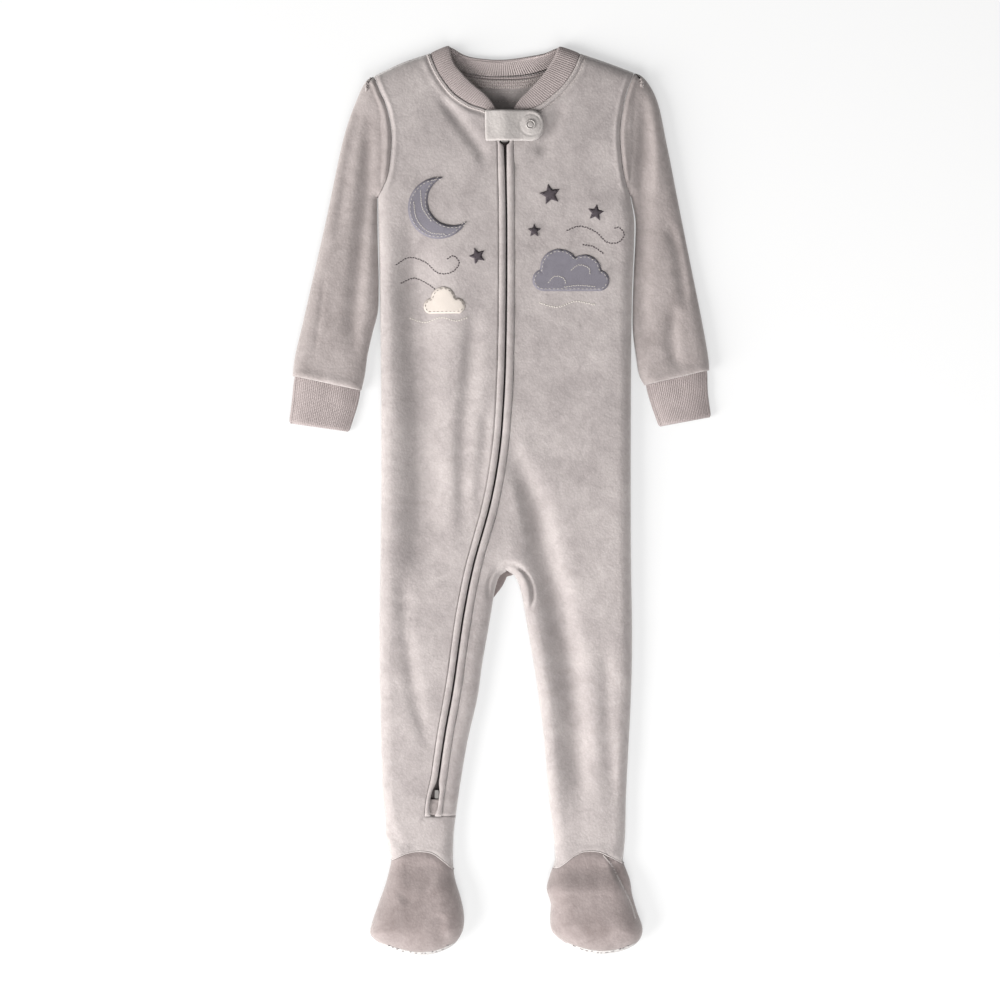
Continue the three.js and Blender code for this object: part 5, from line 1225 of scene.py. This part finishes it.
def welt(side):
    ys = np.linspace(weltForm["top"], weltForm["low"], weltForm["rows"])
    middle = zipX(ys) + weltSway(side, ys)
    seamX = middle + turnOf[side] * (weltForm["halfGap"] + weltForm["width"][side])
    gapX = middle + turnOf[side] * halfGap(ys)
    seamZ, gapZ = bodyHeight(seamX, ys, False), bodyHeight(gapX, ys, False)
    form = weltForm["bump"]
    bump = form["rise"] * np.exp(-(((ys - form["y"]) / form["reach"]) ** 2)) if side == "l" else 0 * ys
    soft = 0.35 * lumps(ys * 0, ys, 14, 2.0 + turnOf[side]) + 0.2 * lumps(ys * 0, ys, 5, 9.0)
    columns = []
    for share, rise in weltForm["section"]:
        rise += weltForm["seamLift"][side] if share < 0.02 else 0
        swell = max(0, math.sin(math.pi * share))
        x = seamX + (gapX - seamX) * share - turnOf[side] * swell * bump * -0.9
        z = seamZ + (gapZ - seamZ) * share + rise + swell * (soft + bump)
        columns.append(np.stack([x, ys, z], axis=1))
    bm = bmesh.new()
    addGrid(bm, np.array(columns).transpose(1, 0, 2))
    return finishSheet("zipWelt" + side.upper(), bm, plushBody, weltForm["wall"])


def bead(bm, place, size, angle=0.0, segments=6, rings=4, tilt=0.0):
    # one small rounded lump, such as a stitch or a tooth
    spot = Vector((place[0] + garmentShift[0], place[1] + garmentShift[1], place[2])) * mm
    matrix = Matrix.Translation(spot) @ Matrix.Rotation(angle, 4, "Z") @ Matrix.Rotation(tilt, 4, "Y")
    matrix = matrix @ Matrix.Diagonal((*[v * mm for v in size], 1))
    bmesh.ops.create_uvsphere(bm, u_segments=segments, v_segments=rings, radius=1, matrix=matrix)


coilForm = {"pitch": 1.25, "top": 311, "bottom": -256, "halfLength": 0.78, "radius": 0.36, "offset": 0.3,
            "below": 2.6}
tapeForm = {"half": 10.3, "below": 3.5, "wall": 0.8, "top": 341, "bottom": -272}
facingForm = {"top": -263.5, "bottom": -279.5, "half": 7, "below": 1.15, "sag": 0.25, "wall": 0.8}


def tapeLevel(xs, ys):
    # the lowest height of the cloth over the tape
    return np.minimum.reduce([bodyHeight(xs + dx, ys, False) for dx in (-10.5, 0, 10.5)])


def zipTape():
    ys = np.linspace(tapeForm["top"], tapeForm["bottom"], 300)
    xs = zipX(ys)
    level = tapeLevel(xs, ys) - tapeForm["below"]
    offsets = np.linspace(-tapeForm["half"], tapeForm["half"], 17)
    places = [np.stack([xs + dx, ys, level - 0.02 * (dx / 5) ** 2], 1) for dx in offsets]
    bm = bmesh.new()
    addGrid(bm, np.array(places))
    return finishSheet("zipTape", bm, zipWeave, tapeForm["wall"])


def zipFacing():
    # the cloth that shows between the welts below the stop
    ys = np.linspace(facingForm["top"], facingForm["bottom"], 12)
    places = []
    for dx in np.linspace(-facingForm["half"], facingForm["half"], 9):
        xs = zipX(ys) + dx
        height = bodyHeight(xs, ys, False) - facingForm["below"] - facingForm["sag"] * (dx / 3) ** 2
        places.append(np.stack([xs, ys, height], 1))
    bm = bmesh.new()
    addGrid(bm, np.array(places))
    finishSheet("zipFacing", bm, plushSleeve, facingForm["wall"])


def zipCoil():
    bm = bmesh.new()
    ys = np.arange(coilForm["top"], coilForm["bottom"], -coilForm["pitch"])
    xs = zipX(ys)
    level = tapeLevel(xs, ys) - coilForm["below"]
    for i, (x, y, z) in enumerate(zip(xs, ys, level)):
        offset = coilForm["offset"] * (1 if i % 2 else -1)
        bead(bm, (x + offset, y, z + 0.12), (coilForm["halfLength"], coilForm["radius"], 0.42))
    dressed(newPiece("zipCoil", bm), coilNylon)


for side in "rl":
    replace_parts(welt(side), "zip_welt_" + side)
zipCoil()
zipFacing()
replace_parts(zipTape(), "zip_tape")
for node, material in (("zip_slider", zipMetal), ("zip_pull", zipMetal),
                       ("zip_stop", zipMetal), ("snap_stud", snapEnamel)):
    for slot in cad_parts[node].material_slots:
        slot.material = material
print("zip")

# Chin guard and snap
guardForm = {"left": -13.4, "right": 37.8, "top": 342.2, "bottom": 315, "wall": 2.6, "roundStart": 25,
             "power": 2.6, "edge": 2.2, "ringGroove": {"radius": 9.4, "depth": 0.55, "width": 0.7}}
guardLumps = [{"rise": 0.3, "size": 9, "seed": 7.7}, {"rise": 0.08, "size": 2.6, "seed": 2.2}]
guardLift = {"cloth": 3.0, "base": 0.9, "overZip": 3, "zipReach": 10, "overSnap": 1.3, "snapReach": 7}
snapForm = {
    "x": 26.7, "y": 329,
    "profile": [(0.01, 0.95), (1.6, 0.93), (2.35, 0.8), (2.65, 0.35), (2.85, 0.1), (3.05, 0.5), (3.3, 1.0),
                (3.65, 1.25), (4.05, 1.0), (4.25, 0.55), (4.3, 0.0), (0.01, 0.0)],
}


def guardTop(x, y):
    lift = guardLift["base"] + guardLift["overZip"] * np.exp(-(((x - zipTopX) / guardLift["zipReach"]) ** 2))
    toSnap = np.hypot(x - snapForm["x"], y - snapForm["y"])
    lift = lift + guardLift["overSnap"] * np.exp(-((toSnap / guardLift["snapReach"]) ** 2))
    return bodyHeight(x, y, False) + lift + guardLift["cloth"]


def guardOutline():
    # straight left end, round right end
    half = (guardForm["top"] - guardForm["bottom"]) / 2
    middle = guardForm["bottom"] + half
    turn, start = guardForm["right"] - guardForm["roundStart"], guardForm["roundStart"]
    angles = np.linspace(math.pi / 2, -math.pi / 2, 49)
    blunt = lambda value: np.sign(value) * np.abs(value) ** (2 / guardForm["power"])
    end = np.stack([start + turn * blunt(np.cos(angles)), middle + half * blunt(np.sin(angles))], 1)
    corner = 1.6
    low, high, left = guardForm["bottom"], guardForm["top"], guardForm["left"]
    bottom = np.stack([np.linspace(start, left + corner, 34), np.full(34, low)], 1)[1:]
    side = smoothPath([(left + corner, low), (left + 0.9, low + 0.7), (left + 0.5, low + 3),
                       (left + 0.1, middle), (left, high - 3), (left + 0.25, high - 0.6),
                       (left + corner, high)], 30)
    top = np.stack([np.linspace(left + corner, start, 34), np.full(34, high)], 1)
    return np.concatenate([end, bottom, side[1:-1], top])


def chinGuard():
    outline = guardOutline()
    half = (guardForm["top"] - guardForm["bottom"]) / 2
    middle = guardForm["bottom"] + half
    spine = np.stack([np.clip(outline[:, 0], guardForm["left"] + half, guardForm["roundStart"] - 1),
                      np.full(len(outline), middle)], 1)
    inward = spine - outline
    far = np.hypot(*inward.T)
    steps = np.array([0, 0.12, 0.35, 0.7, 1.15, 1.7, 2.4, 3.2])
    shares = np.array([np.concatenate([steps / d, np.linspace(steps[-1] / d, 1, 15)[1:]]) for d in far])
    places = outline[None] + inward[None] * shares.T[..., None]
    x, y = places[..., 0], places[..., 1]
    toEdge = shares.T * far
    drop = guardForm["edge"] * (1 - rounded(toEdge / guardForm["edge"]))
    toSnap = np.hypot(x - snapForm["x"], y - snapForm["y"])
    groove = guardForm["ringGroove"]
    fromGroove = (toSnap - groove["radius"]) / groove["width"]
    z = guardTop(x, y) - drop - groove["depth"] * np.exp(-(fromGroove ** 2))
    z += rounded(toEdge / 2) * uneven(guardLumps, x, y)
    bm = bmesh.new()
    addGrid(bm, np.stack([x, y, z], axis=-1))
    return finishSheet("chinGuard", bm, plushGuard, guardForm["wall"] - 1.2)


def snapFront():
    # round ring with a low disc inside it
    base = float(guardTop(np.array([snapForm["x"]]), np.array([snapForm["y"]]))[0]) - 0.25
    bm = bmesh.new()
    verts = [bm.verts.new((r * mm, 0, z * mm)) for r, z in snapForm["profile"]]
    edges = [bm.edges.new(pair) for pair in zip(verts, verts[1:])]
    bmesh.ops.spin(bm, geom=verts + edges, cent=(0, 0, 0), axis=(0, 0, 1), angle=math.tau, steps=48,
                   use_merge=True)
    bmesh.ops.remove_doubles(bm, verts=bm.verts[:], dist=0.02 * mm)
    bmesh.ops.recalc_face_normals(bm, faces=bm.faces[:])
    if sum(face.normal.z for face in bm.faces) < 0:
        bmesh.ops.reverse_faces(bm, faces=bm.faces[:])
    place = Vector((snapForm["x"] + garmentShift[0], snapForm["y"] + garmentShift[1], base)) * mm
    bmesh.ops.translate(bm, verts=bm.verts[:], vec=place)
    return dressed(newPiece("snapFront", bm), snapEnamel)


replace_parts(chinGuard(), "chin_guard")
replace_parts(snapFront(), "snap_ring")
print("chin guard")

# Felt patches
moonPatch = {"x": -54, "y": 256, "radius": 27, "biteRadius": 22, "biteShift": 14, "turn": 0.5}
largeCloud = {"x": 62, "y": 196, "base": -13,
              "lobes": [(-24, -3.2, 9.6), (-10, 7, 17), (12, 4, 15), (24.5, -3.6, 9.4)]}
smallCloud = {"x": -48, "y": 172, "base": -8.5,
              "lobes": [(-12.4, -1.8, 7), (-2, 4, 11), (10.4, -1.8, 7)]}
stars = [
    {"x": 44, "y": 268, "radius": 9.5, "turn": 0.2},
    {"x": 84, "y": 252, "radius": 7.5, "turn": -0.15},
    {"x": -20, "y": 214, "radius": 7.5, "turn": 0.35},
    {"x": 30, "y": 236, "radius": 6, "turn": 0},
]
feltForm = {"top": 1.35, "edge": 0.55, "round": 0.8, "wall": 0.8, "starWaist": 0.48, "longest": 3.2,
            "lumps": [{"rise": 0.12, "size": 5, "seed": 6.1}]}


def moonOutline(form):
    radius, bite, shift = form["radius"], form["biteRadius"], form["biteShift"]
    cross = (radius ** 2 - bite ** 2 + shift ** 2) / (2 * shift)
    outer, inner = math.acos(cross / radius), math.acos((cross - shift) / bite)
    a = np.linspace(form["turn"] + outer, form["turn"] - outer + math.tau, 70)
    b = np.linspace(form["turn"] - inner + math.tau, form["turn"] + inner, 60)[1:-1]
    centre = np.array([form["x"], form["y"]])
    bitten = centre + shift * np.array([math.cos(form["turn"]), math.sin(form["turn"])])
    return np.concatenate([centre + radius * np.stack([np.cos(a), np.sin(a)], 1),
                           bitten + bite * np.stack([np.cos(b), np.sin(b)], 1)])


def starOutline(form):
    angles = form["turn"] + math.pi / 2 + np.arange(10) * math.pi / 5
    reach = np.where(np.arange(10) % 2, form["radius"] * feltForm["starWaist"], form["radius"])
    corners = (form["x"], form["y"]) + reach[:, None] * np.stack([np.cos(angles), np.sin(angles)], 1)
    closed = np.concatenate([corners, corners[:1]])
    return spaced(closed, 60)[:-1]


def cloudOutline(form):
    # round lobes over the top, and a straight base with round ends
    lobes, base = form["lobes"], form["base"]
    low, high = lobes[0][0] - lobes[0][2], lobes[-1][0] + lobes[-1][2]
    across = low + (high - low) * (1 - np.cos(np.pi * np.linspace(0, 1, 90))) / 2
    bow = lambda x, r: np.sqrt(np.maximum(r ** 2 - (across - x) ** 2, 0))
    top = np.max([np.where(abs(across - x) < r + 1e-6, y + bow(x, r), base) for x, y, r in lobes], axis=0)
    (firstX, firstY, firstR), (lastX, lastY, lastR) = lobes[0], lobes[-1]
    bottom = np.where(across < firstX, firstY - bow(firstX, firstR),
                      np.where(across > lastX, lastY - bow(lastX, lastR), base))
    upper = np.stack([across, top], 1)[::-1]
    lower = np.stack([across, np.maximum(bottom, base)], 1)[1:-1]
    return np.array([form["x"], form["y"]]) + np.concatenate([upper, lower])


def feltPiece(name, outline, material, node):
    bm = bmesh.new()
    verts = [bm.verts.new((x, y, 0)) for x, y in outline]
    face = bm.faces.new(verts)
    area = sum(a[0] * b[1] - a[1] * b[0] for a, b in zip(outline, np.roll(outline, -1, 0)))
    if face.normal.z < 0 or area < 0:
        bmesh.ops.reverse_faces(bm, faces=[face])
    inset = bmesh.ops.inset_individual(bm, faces=[face], thickness=feltForm["round"], use_even_offset=True)
    middle = [f for f in bm.faces if f not in inset["faces"]]
    bmesh.ops.triangulate(bm, faces=middle)
    for _ in range(6):
        long = [edge for edge in bm.edges if edge.calc_length() > feltForm["longest"]]
        if not long:
            break
        bmesh.ops.subdivide_edges(bm, edges=long, cuts=1)
        bmesh.ops.triangulate(bm, faces=[f for f in bm.faces if len(f.verts) > 4])
    for face in bm.faces:
        face.normal_update()
    if sum(f.normal.z for f in bm.faces) < 0:
        bmesh.ops.reverse_faces(bm, faces=bm.faces[:])
    places = np.array([vert.co for vert in bm.verts])
    loop = np.concatenate([outline, outline[:1]])
    toEdge = distanceTo([loop], places[:, 0], places[:, 1])[0]
    z = bodyHeight(places[:, 0], places[:, 1], False)
    z += feltForm["edge"] + (feltForm["top"] - feltForm["edge"]) * rounded(toEdge / feltForm["round"])
    z += uneven(feltForm["lumps"], places[:, 0], places[:, 1])
    for vert, height in zip(bm.verts, z):
        vert.co = Vector((vert.co.x + garmentShift[0], vert.co.y + garmentShift[1], height)) * mm
    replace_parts(finishSheet(name, bm, material, feltForm["wall"]), node)


moonEdge, cloudEdge, smallEdge = moonOutline(moonPatch), cloudOutline(largeCloud), cloudOutline(smallCloud)
feltPiece("moonPatch", moonEdge, slateFelt, "moon_patch")
feltPiece("largeCloudPatch", cloudEdge, slateFelt, "large_cloud_patch")
feltPiece("smallCloudPatch", smallEdge, creamFelt, "small_cloud_patch")
for i, star in enumerate(stars, 1):
    feltPiece("starPatch" + str(i), starOutline(star), charcoalFelt, "star_patch_" + str(i))
print("felt patches")

# Stitching
stitchForm = {"length": 2.3, "gap": 1.3, "width": 0.42, "thick": 0.3}


def runningStitch(bm, path, height, length=None, gap=None, width=None, lift=0.15, sway=0.0):
    length = length or stitchForm["length"]
    gap = gap or stitchForm["gap"]
    width = width or stitchForm["width"]
    total = lengthOf(path)
    starts = np.arange(gap / 2, total - length, length + gap)
    starts = starts + np.array([random.uniform(-0.12, 0.12) for _ in starts])
    middle, ahead = pointsAt(path, starts + length / 2), pointsAt(path, starts + length)
    behind = pointsAt(path, starts)
    z = height(middle[:, 0], middle[:, 1])
    zAhead, zBehind = height(ahead[:, 0], ahead[:, 1]), height(behind[:, 0], behind[:, 1])
    for i in range(len(starts)):
        run = ahead[i] - behind[i]
        angle = math.atan2(run[1], run[0]) + random.uniform(-0.05, 0.05) + sway * (1 if i % 2 else -1)
        tilt = -math.atan2(zAhead[i] - zBehind[i], max(np.hypot(*run), 0.1))
        bead(bm, (*middle[i], z[i] + lift), (length / 2, width / 2, stitchForm["thick"]), angle, 8, 4, tilt)


def insetLoop(outline, distance):
    # a closed path inside an outline
    loop = np.concatenate([outline, outline[:1]])
    area = (loop[:-1, 0] * loop[1:, 1] - loop[1:, 0] * loop[:-1, 1]).sum()
    return loop + leftOf(loop) * distance * np.sign(area)


def feltHeight(x, y):
    return bodyHeight(x, y, False) + feltForm["top"]


creamStitches, darkStitches = bmesh.new(), bmesh.new()
runningStitch(creamStitches, insetLoop(moonEdge, 2.0), feltHeight)
runningStitch(creamStitches, insetLoop(cloudEdge, 2.0), feltHeight)
runningStitch(darkStitches, insetLoop(smallEdge, 1.8), feltHeight)
for star in stars:
    runningStitch(darkStitches, insetLoop(starOutline(star), 1.1), feltHeight, 1.4, 1.1, 0.3)
cloudSwirls = [
    [(42, 190), (48, 196), (56, 194), (58, 188)],
    [(62, 201), (69, 206), (78, 203), (79, 196)],
    [(56, 186.5), (68, 188), (84, 187)],
]
moonSwirls = [
    [(-76, 262), (-73, 246), (-62, 235), (-48, 233)],
    [(-70, 272), (-68, 256), (-60, 244)],
]
for swirl in cloudSwirls + moonSwirls:
    path = smoothPath(swirl, 60)
    runningStitch(creamStitches, path, feltHeight, 1.9, 0.1, 0.6, 0.15, 0.35)
breeze = {
    "dark": [[(-92, 206), (-80, 213), (-66, 209), (-54, 199), (-42, 200), (-36, 208), (-41, 214), (-47, 211)],
             [(-88, 190), (-76, 195), (-64, 190), (-56, 184)],
             [(58, 236), (70, 240), (84, 235), (94, 226), (104, 226), (109, 233), (104, 239), (98, 237)],
             [(72, 224), (82, 222), (92, 215)]],
    "cream": [[(-80, 160), (-66, 156), (-52, 160), (-38, 157), (-28, 160)],
              [(34, 173), (50, 169), (66, 174), (84, 171)]],
}
for path in breeze["dark"]:
    runningStitch(darkStitches, smoothPath(path, 90), bodyHeight, 2.1, 0.25, 1.15, 0.1, 0.42)
for path in breeze["cream"]:
    runningStitch(creamStitches, smoothPath(path, 90), bodyHeight, 2.0, 0.25, 0.9, 0.1, 0.35)
neckRows = bmesh.new()
for side in "rl":
    path = spaced(neckSeamPaths[side], 150)
    outward = leftOf(path) * (1 if outwardLeft(path) else -1)
    edgingTop = lambda x, y: bodyHeight(x, y, False) + 0.45
    runningStitch(neckRows, path + outward * edgingForm["width"] * edgingForm["stitchAt"][side], edgingTop,
                  2.4, 0.7, 0.5, 0.1)
    if side == "l":
        runningStitch(neckRows, path + outward * 5.2, bodyHeight, 2.4, 0.7, 0.5, 0.1)
dressed(newPiece("edgingThread", neckRows), taupeThread)
dressed(newPiece("creamSewing", creamStitches), creamThread)
dressed(newPiece("darkSewing", darkStitches), darkThread)


def innerBack(x, y):
    return backHeight(x, y) + body["wall"]


overlockForm = {"step": 1.7, "reach": 8.3, "lines": [11.3, 19.5]}


def neckSewing():
    # overlock on the rib's seam allowance inside the back neck, and the rows of stitch under it
    bm = bmesh.new()
    seam = smoothPath(backNeckSeam, 128)
    inside = seam[np.abs(seam[:, 0] - 3) < 50]
    rows, uv = [], []
    for drop, rise in ((0.1, 0.3), (0.6, 0.75), (4, 0.85), (7.8, 0.75), (8.4, 0.2)):
        spots = inside - (0, drop)
        rows.append(lifted(spots, innerBack(spots[:, 0], spots[:, 1]) + rise))
        uv.append(np.stack([along(inside) / ribForm["pitch"], np.full(len(inside), drop)], 1))
    fold = bmesh.new()
    addGrid(fold, np.array(rows), True, np.array(uv))
    finishSheet("neckAllowance", fold, ribKnit, 0.4)
    for i, distance in enumerate(np.arange(1, lengthOf(inside) - 1, overlockForm["step"])):
        x, y = pointsAt(inside, np.array([distance]))[0]
        height = float(innerBack(np.array([x]), np.array([y - 5]))[0]) + 1.0
        for row, (low, high) in enumerate(((0.4, 3.2), (2.9, 5.8), (5.5, 8.4))):
            lean = 0.5 if (i + row) % 2 else -0.5
            bead(bm, (x + 0.4 * (row % 2), y - (low + high) / 2, height), ((high - low) / 2, 0.34, 0.3),
                 math.pi / 2 + lean, 6, 4)
    for drop in overlockForm["lines"]:
        runningStitch(bm, inside - (0, drop), innerBack, 1.9, 1.0, 0.5, 0.2)
    dressed(newPiece("neckSewing", bm), taupeThread)


neckSewing()
print("stitching")

# Sole edges and grip marks
lipForm = {"section": [(-0.02, -1.2), (0.0, 0.35), (0.3, 0.45), (0.7, 0.5), (0.95, 0.45), (1.05, 0.0)],
           "width": 3.4, "until": -390, "wall": 0.5}
gripForm = {"pitch": 8.5, "size": (2.4, 1.3, 0.3), "reach": (32, 36), "rim": 7.5, "edgePitch": 5.2}


def soleLip(side):
    # the sole's edge, turned up over the toe
    foot = spaced(paths["foot" + side.upper()], 260)
    toe = foot[foot[:, 1] < lipForm["until"]]
    run, away = toe[len(toe) // 2 + 1] - toe[len(toe) // 2], toe[len(toe) // 2] - footForm["centre"][side]
    inward = -1 if run[0] * away[1] - run[1] * away[0] > 0 else 1
    taper = np.sin(np.linspace(0, math.pi, len(toe))) ** 0.35
    turns = leftOf(toe) * inward
    rows = []
    for share, rise in lipForm["section"]:
        spots = toe + turns * (share * lipForm["width"] * taper)[:, None]
        near = toe + turns * 0.05
        height = bodyHeight(*np.where(share > 0.02, spots, near).T)
        rows.append(lifted(spots, height + rise * taper))
    bm = bmesh.new()
    addGrid(bm, np.array(rows))
    finishSheet("soleLip" + side.upper(), bm, soleCloth, lipForm["wall"])


def gripMarks():
    bm = bmesh.new()
    for side in "rl":
        foot = spaced(paths["foot" + side.upper()], 200)
        centre = np.array(footForm["centre"][side])
        for row, y in enumerate(np.arange(-398, -350, gripForm["pitch"] * 0.8)):
            for x in np.arange(-36, 37, gripForm["pitch"]) + (row % 2) * gripForm["pitch"] / 2:
                place = np.array([centre[0] + x, y])
                distance = distanceTo([foot], place[:1], place[1:])[0]
                inside = np.hypot(*((place - centre) / gripForm["reach"])) < 1
                if inside and distance[0] > gripForm["rim"]:
                    bead(bm, (*place, 0.0), gripForm["size"], 0.3, 10, 4)
        toe = foot[foot[:, 1] < lipForm["until"] + 2]
        starts = np.arange(9, lengthOf(toe) - 9, gripForm["edgePitch"])
        spots = pointsAt(toe, starts + np.array([random.uniform(-1.4, 1.4) for _ in starts]))
        spots = spots + (centre - spots) * np.array([[random.uniform(0.035, 0.075)] for _ in starts])
        heights = bodyHeight(spots[:, 0], spots[:, 1])
        for (x, y), z in zip(spots, heights):
            bead(bm, (x, y, z + 0.5), (random.uniform(0.9, 1.9), 0.7, 0.3), random.uniform(-0.4, 0.6), 8, 4)
    dressed(newPiece("gripMarks", bm), gripPrint)


for side in "rl":
    soleLip(side)
gripMarks()
print("soles")

# The back panel's edge at the crotch
gussetForm = {"path": [(-7.5, -88), (-5.5, -78), (-1, -69), (5, -65), (11, -66.5)], "width": 6.5,
              "height": 2.4, "wall": 1.1,
              "section": [(-0.5, 0.2), (0, 0.1), (0.5, 0), (0.85, -0.3), (1, -0.9)]}


def crotchBack():
    # the back panel's edge, seen in the shade under the crotch; the darker vamp plush on it is painted shade
    path = smoothPath(gussetForm["path"], 40)
    taper = np.sin(np.linspace(0, math.pi, len(path))) ** 0.8
    rows = []
    for share, rise in gussetForm["section"]:
        narrowed = taper if share > 0 else np.ones(len(path))
        spots = path - leftOf(path) * (share * gussetForm["width"] * narrowed)[:, None]
        rows.append(lifted(spots, np.full(len(path), gussetForm["height"] + rise)))
    bm = bmesh.new()
    addGrid(bm, np.array(rows))
    # the darker vamp plush paints shade on this bit of the back panel
    finishSheet("crotchBack", bm, plushVamp, gussetForm["wall"])


crotchBack()
# Floor
floorForm = {"halfSize": 6, "below": 0.0004}
floorMesh = bpy.data.meshes.new("floor")
bm = bmesh.new()
bmesh.ops.create_grid(bm, x_segments=1, y_segments=1, size=floorForm["halfSize"])
bm.to_mesh(floorMesh)
bm.free()
floorMesh.transform(Matrix.Translation((0, 0, -floorForm["below"])))
floor = bpy.data.objects.new("floor", floorMesh)
bpy.context.scene.collection.objects.link(floor)
floorPaint = bpy.data.materials.new("floorPaint")
floorPaint.use_nodes = True
# a pale surface that gives off a little light of its own, so shadows on it stay light
floorLook = {"Base Color": (0.27, 0.27, 0.27, 1), "Roughness": 0.9, "Emission Color": (1, 1, 1, 1),
             "Emission Strength": 0.525}
for key, value in floorLook.items():
    floorPaint.node_tree.nodes["Principled BSDF"].inputs[key].default_value = value
floorMesh.materials.append(floorPaint)
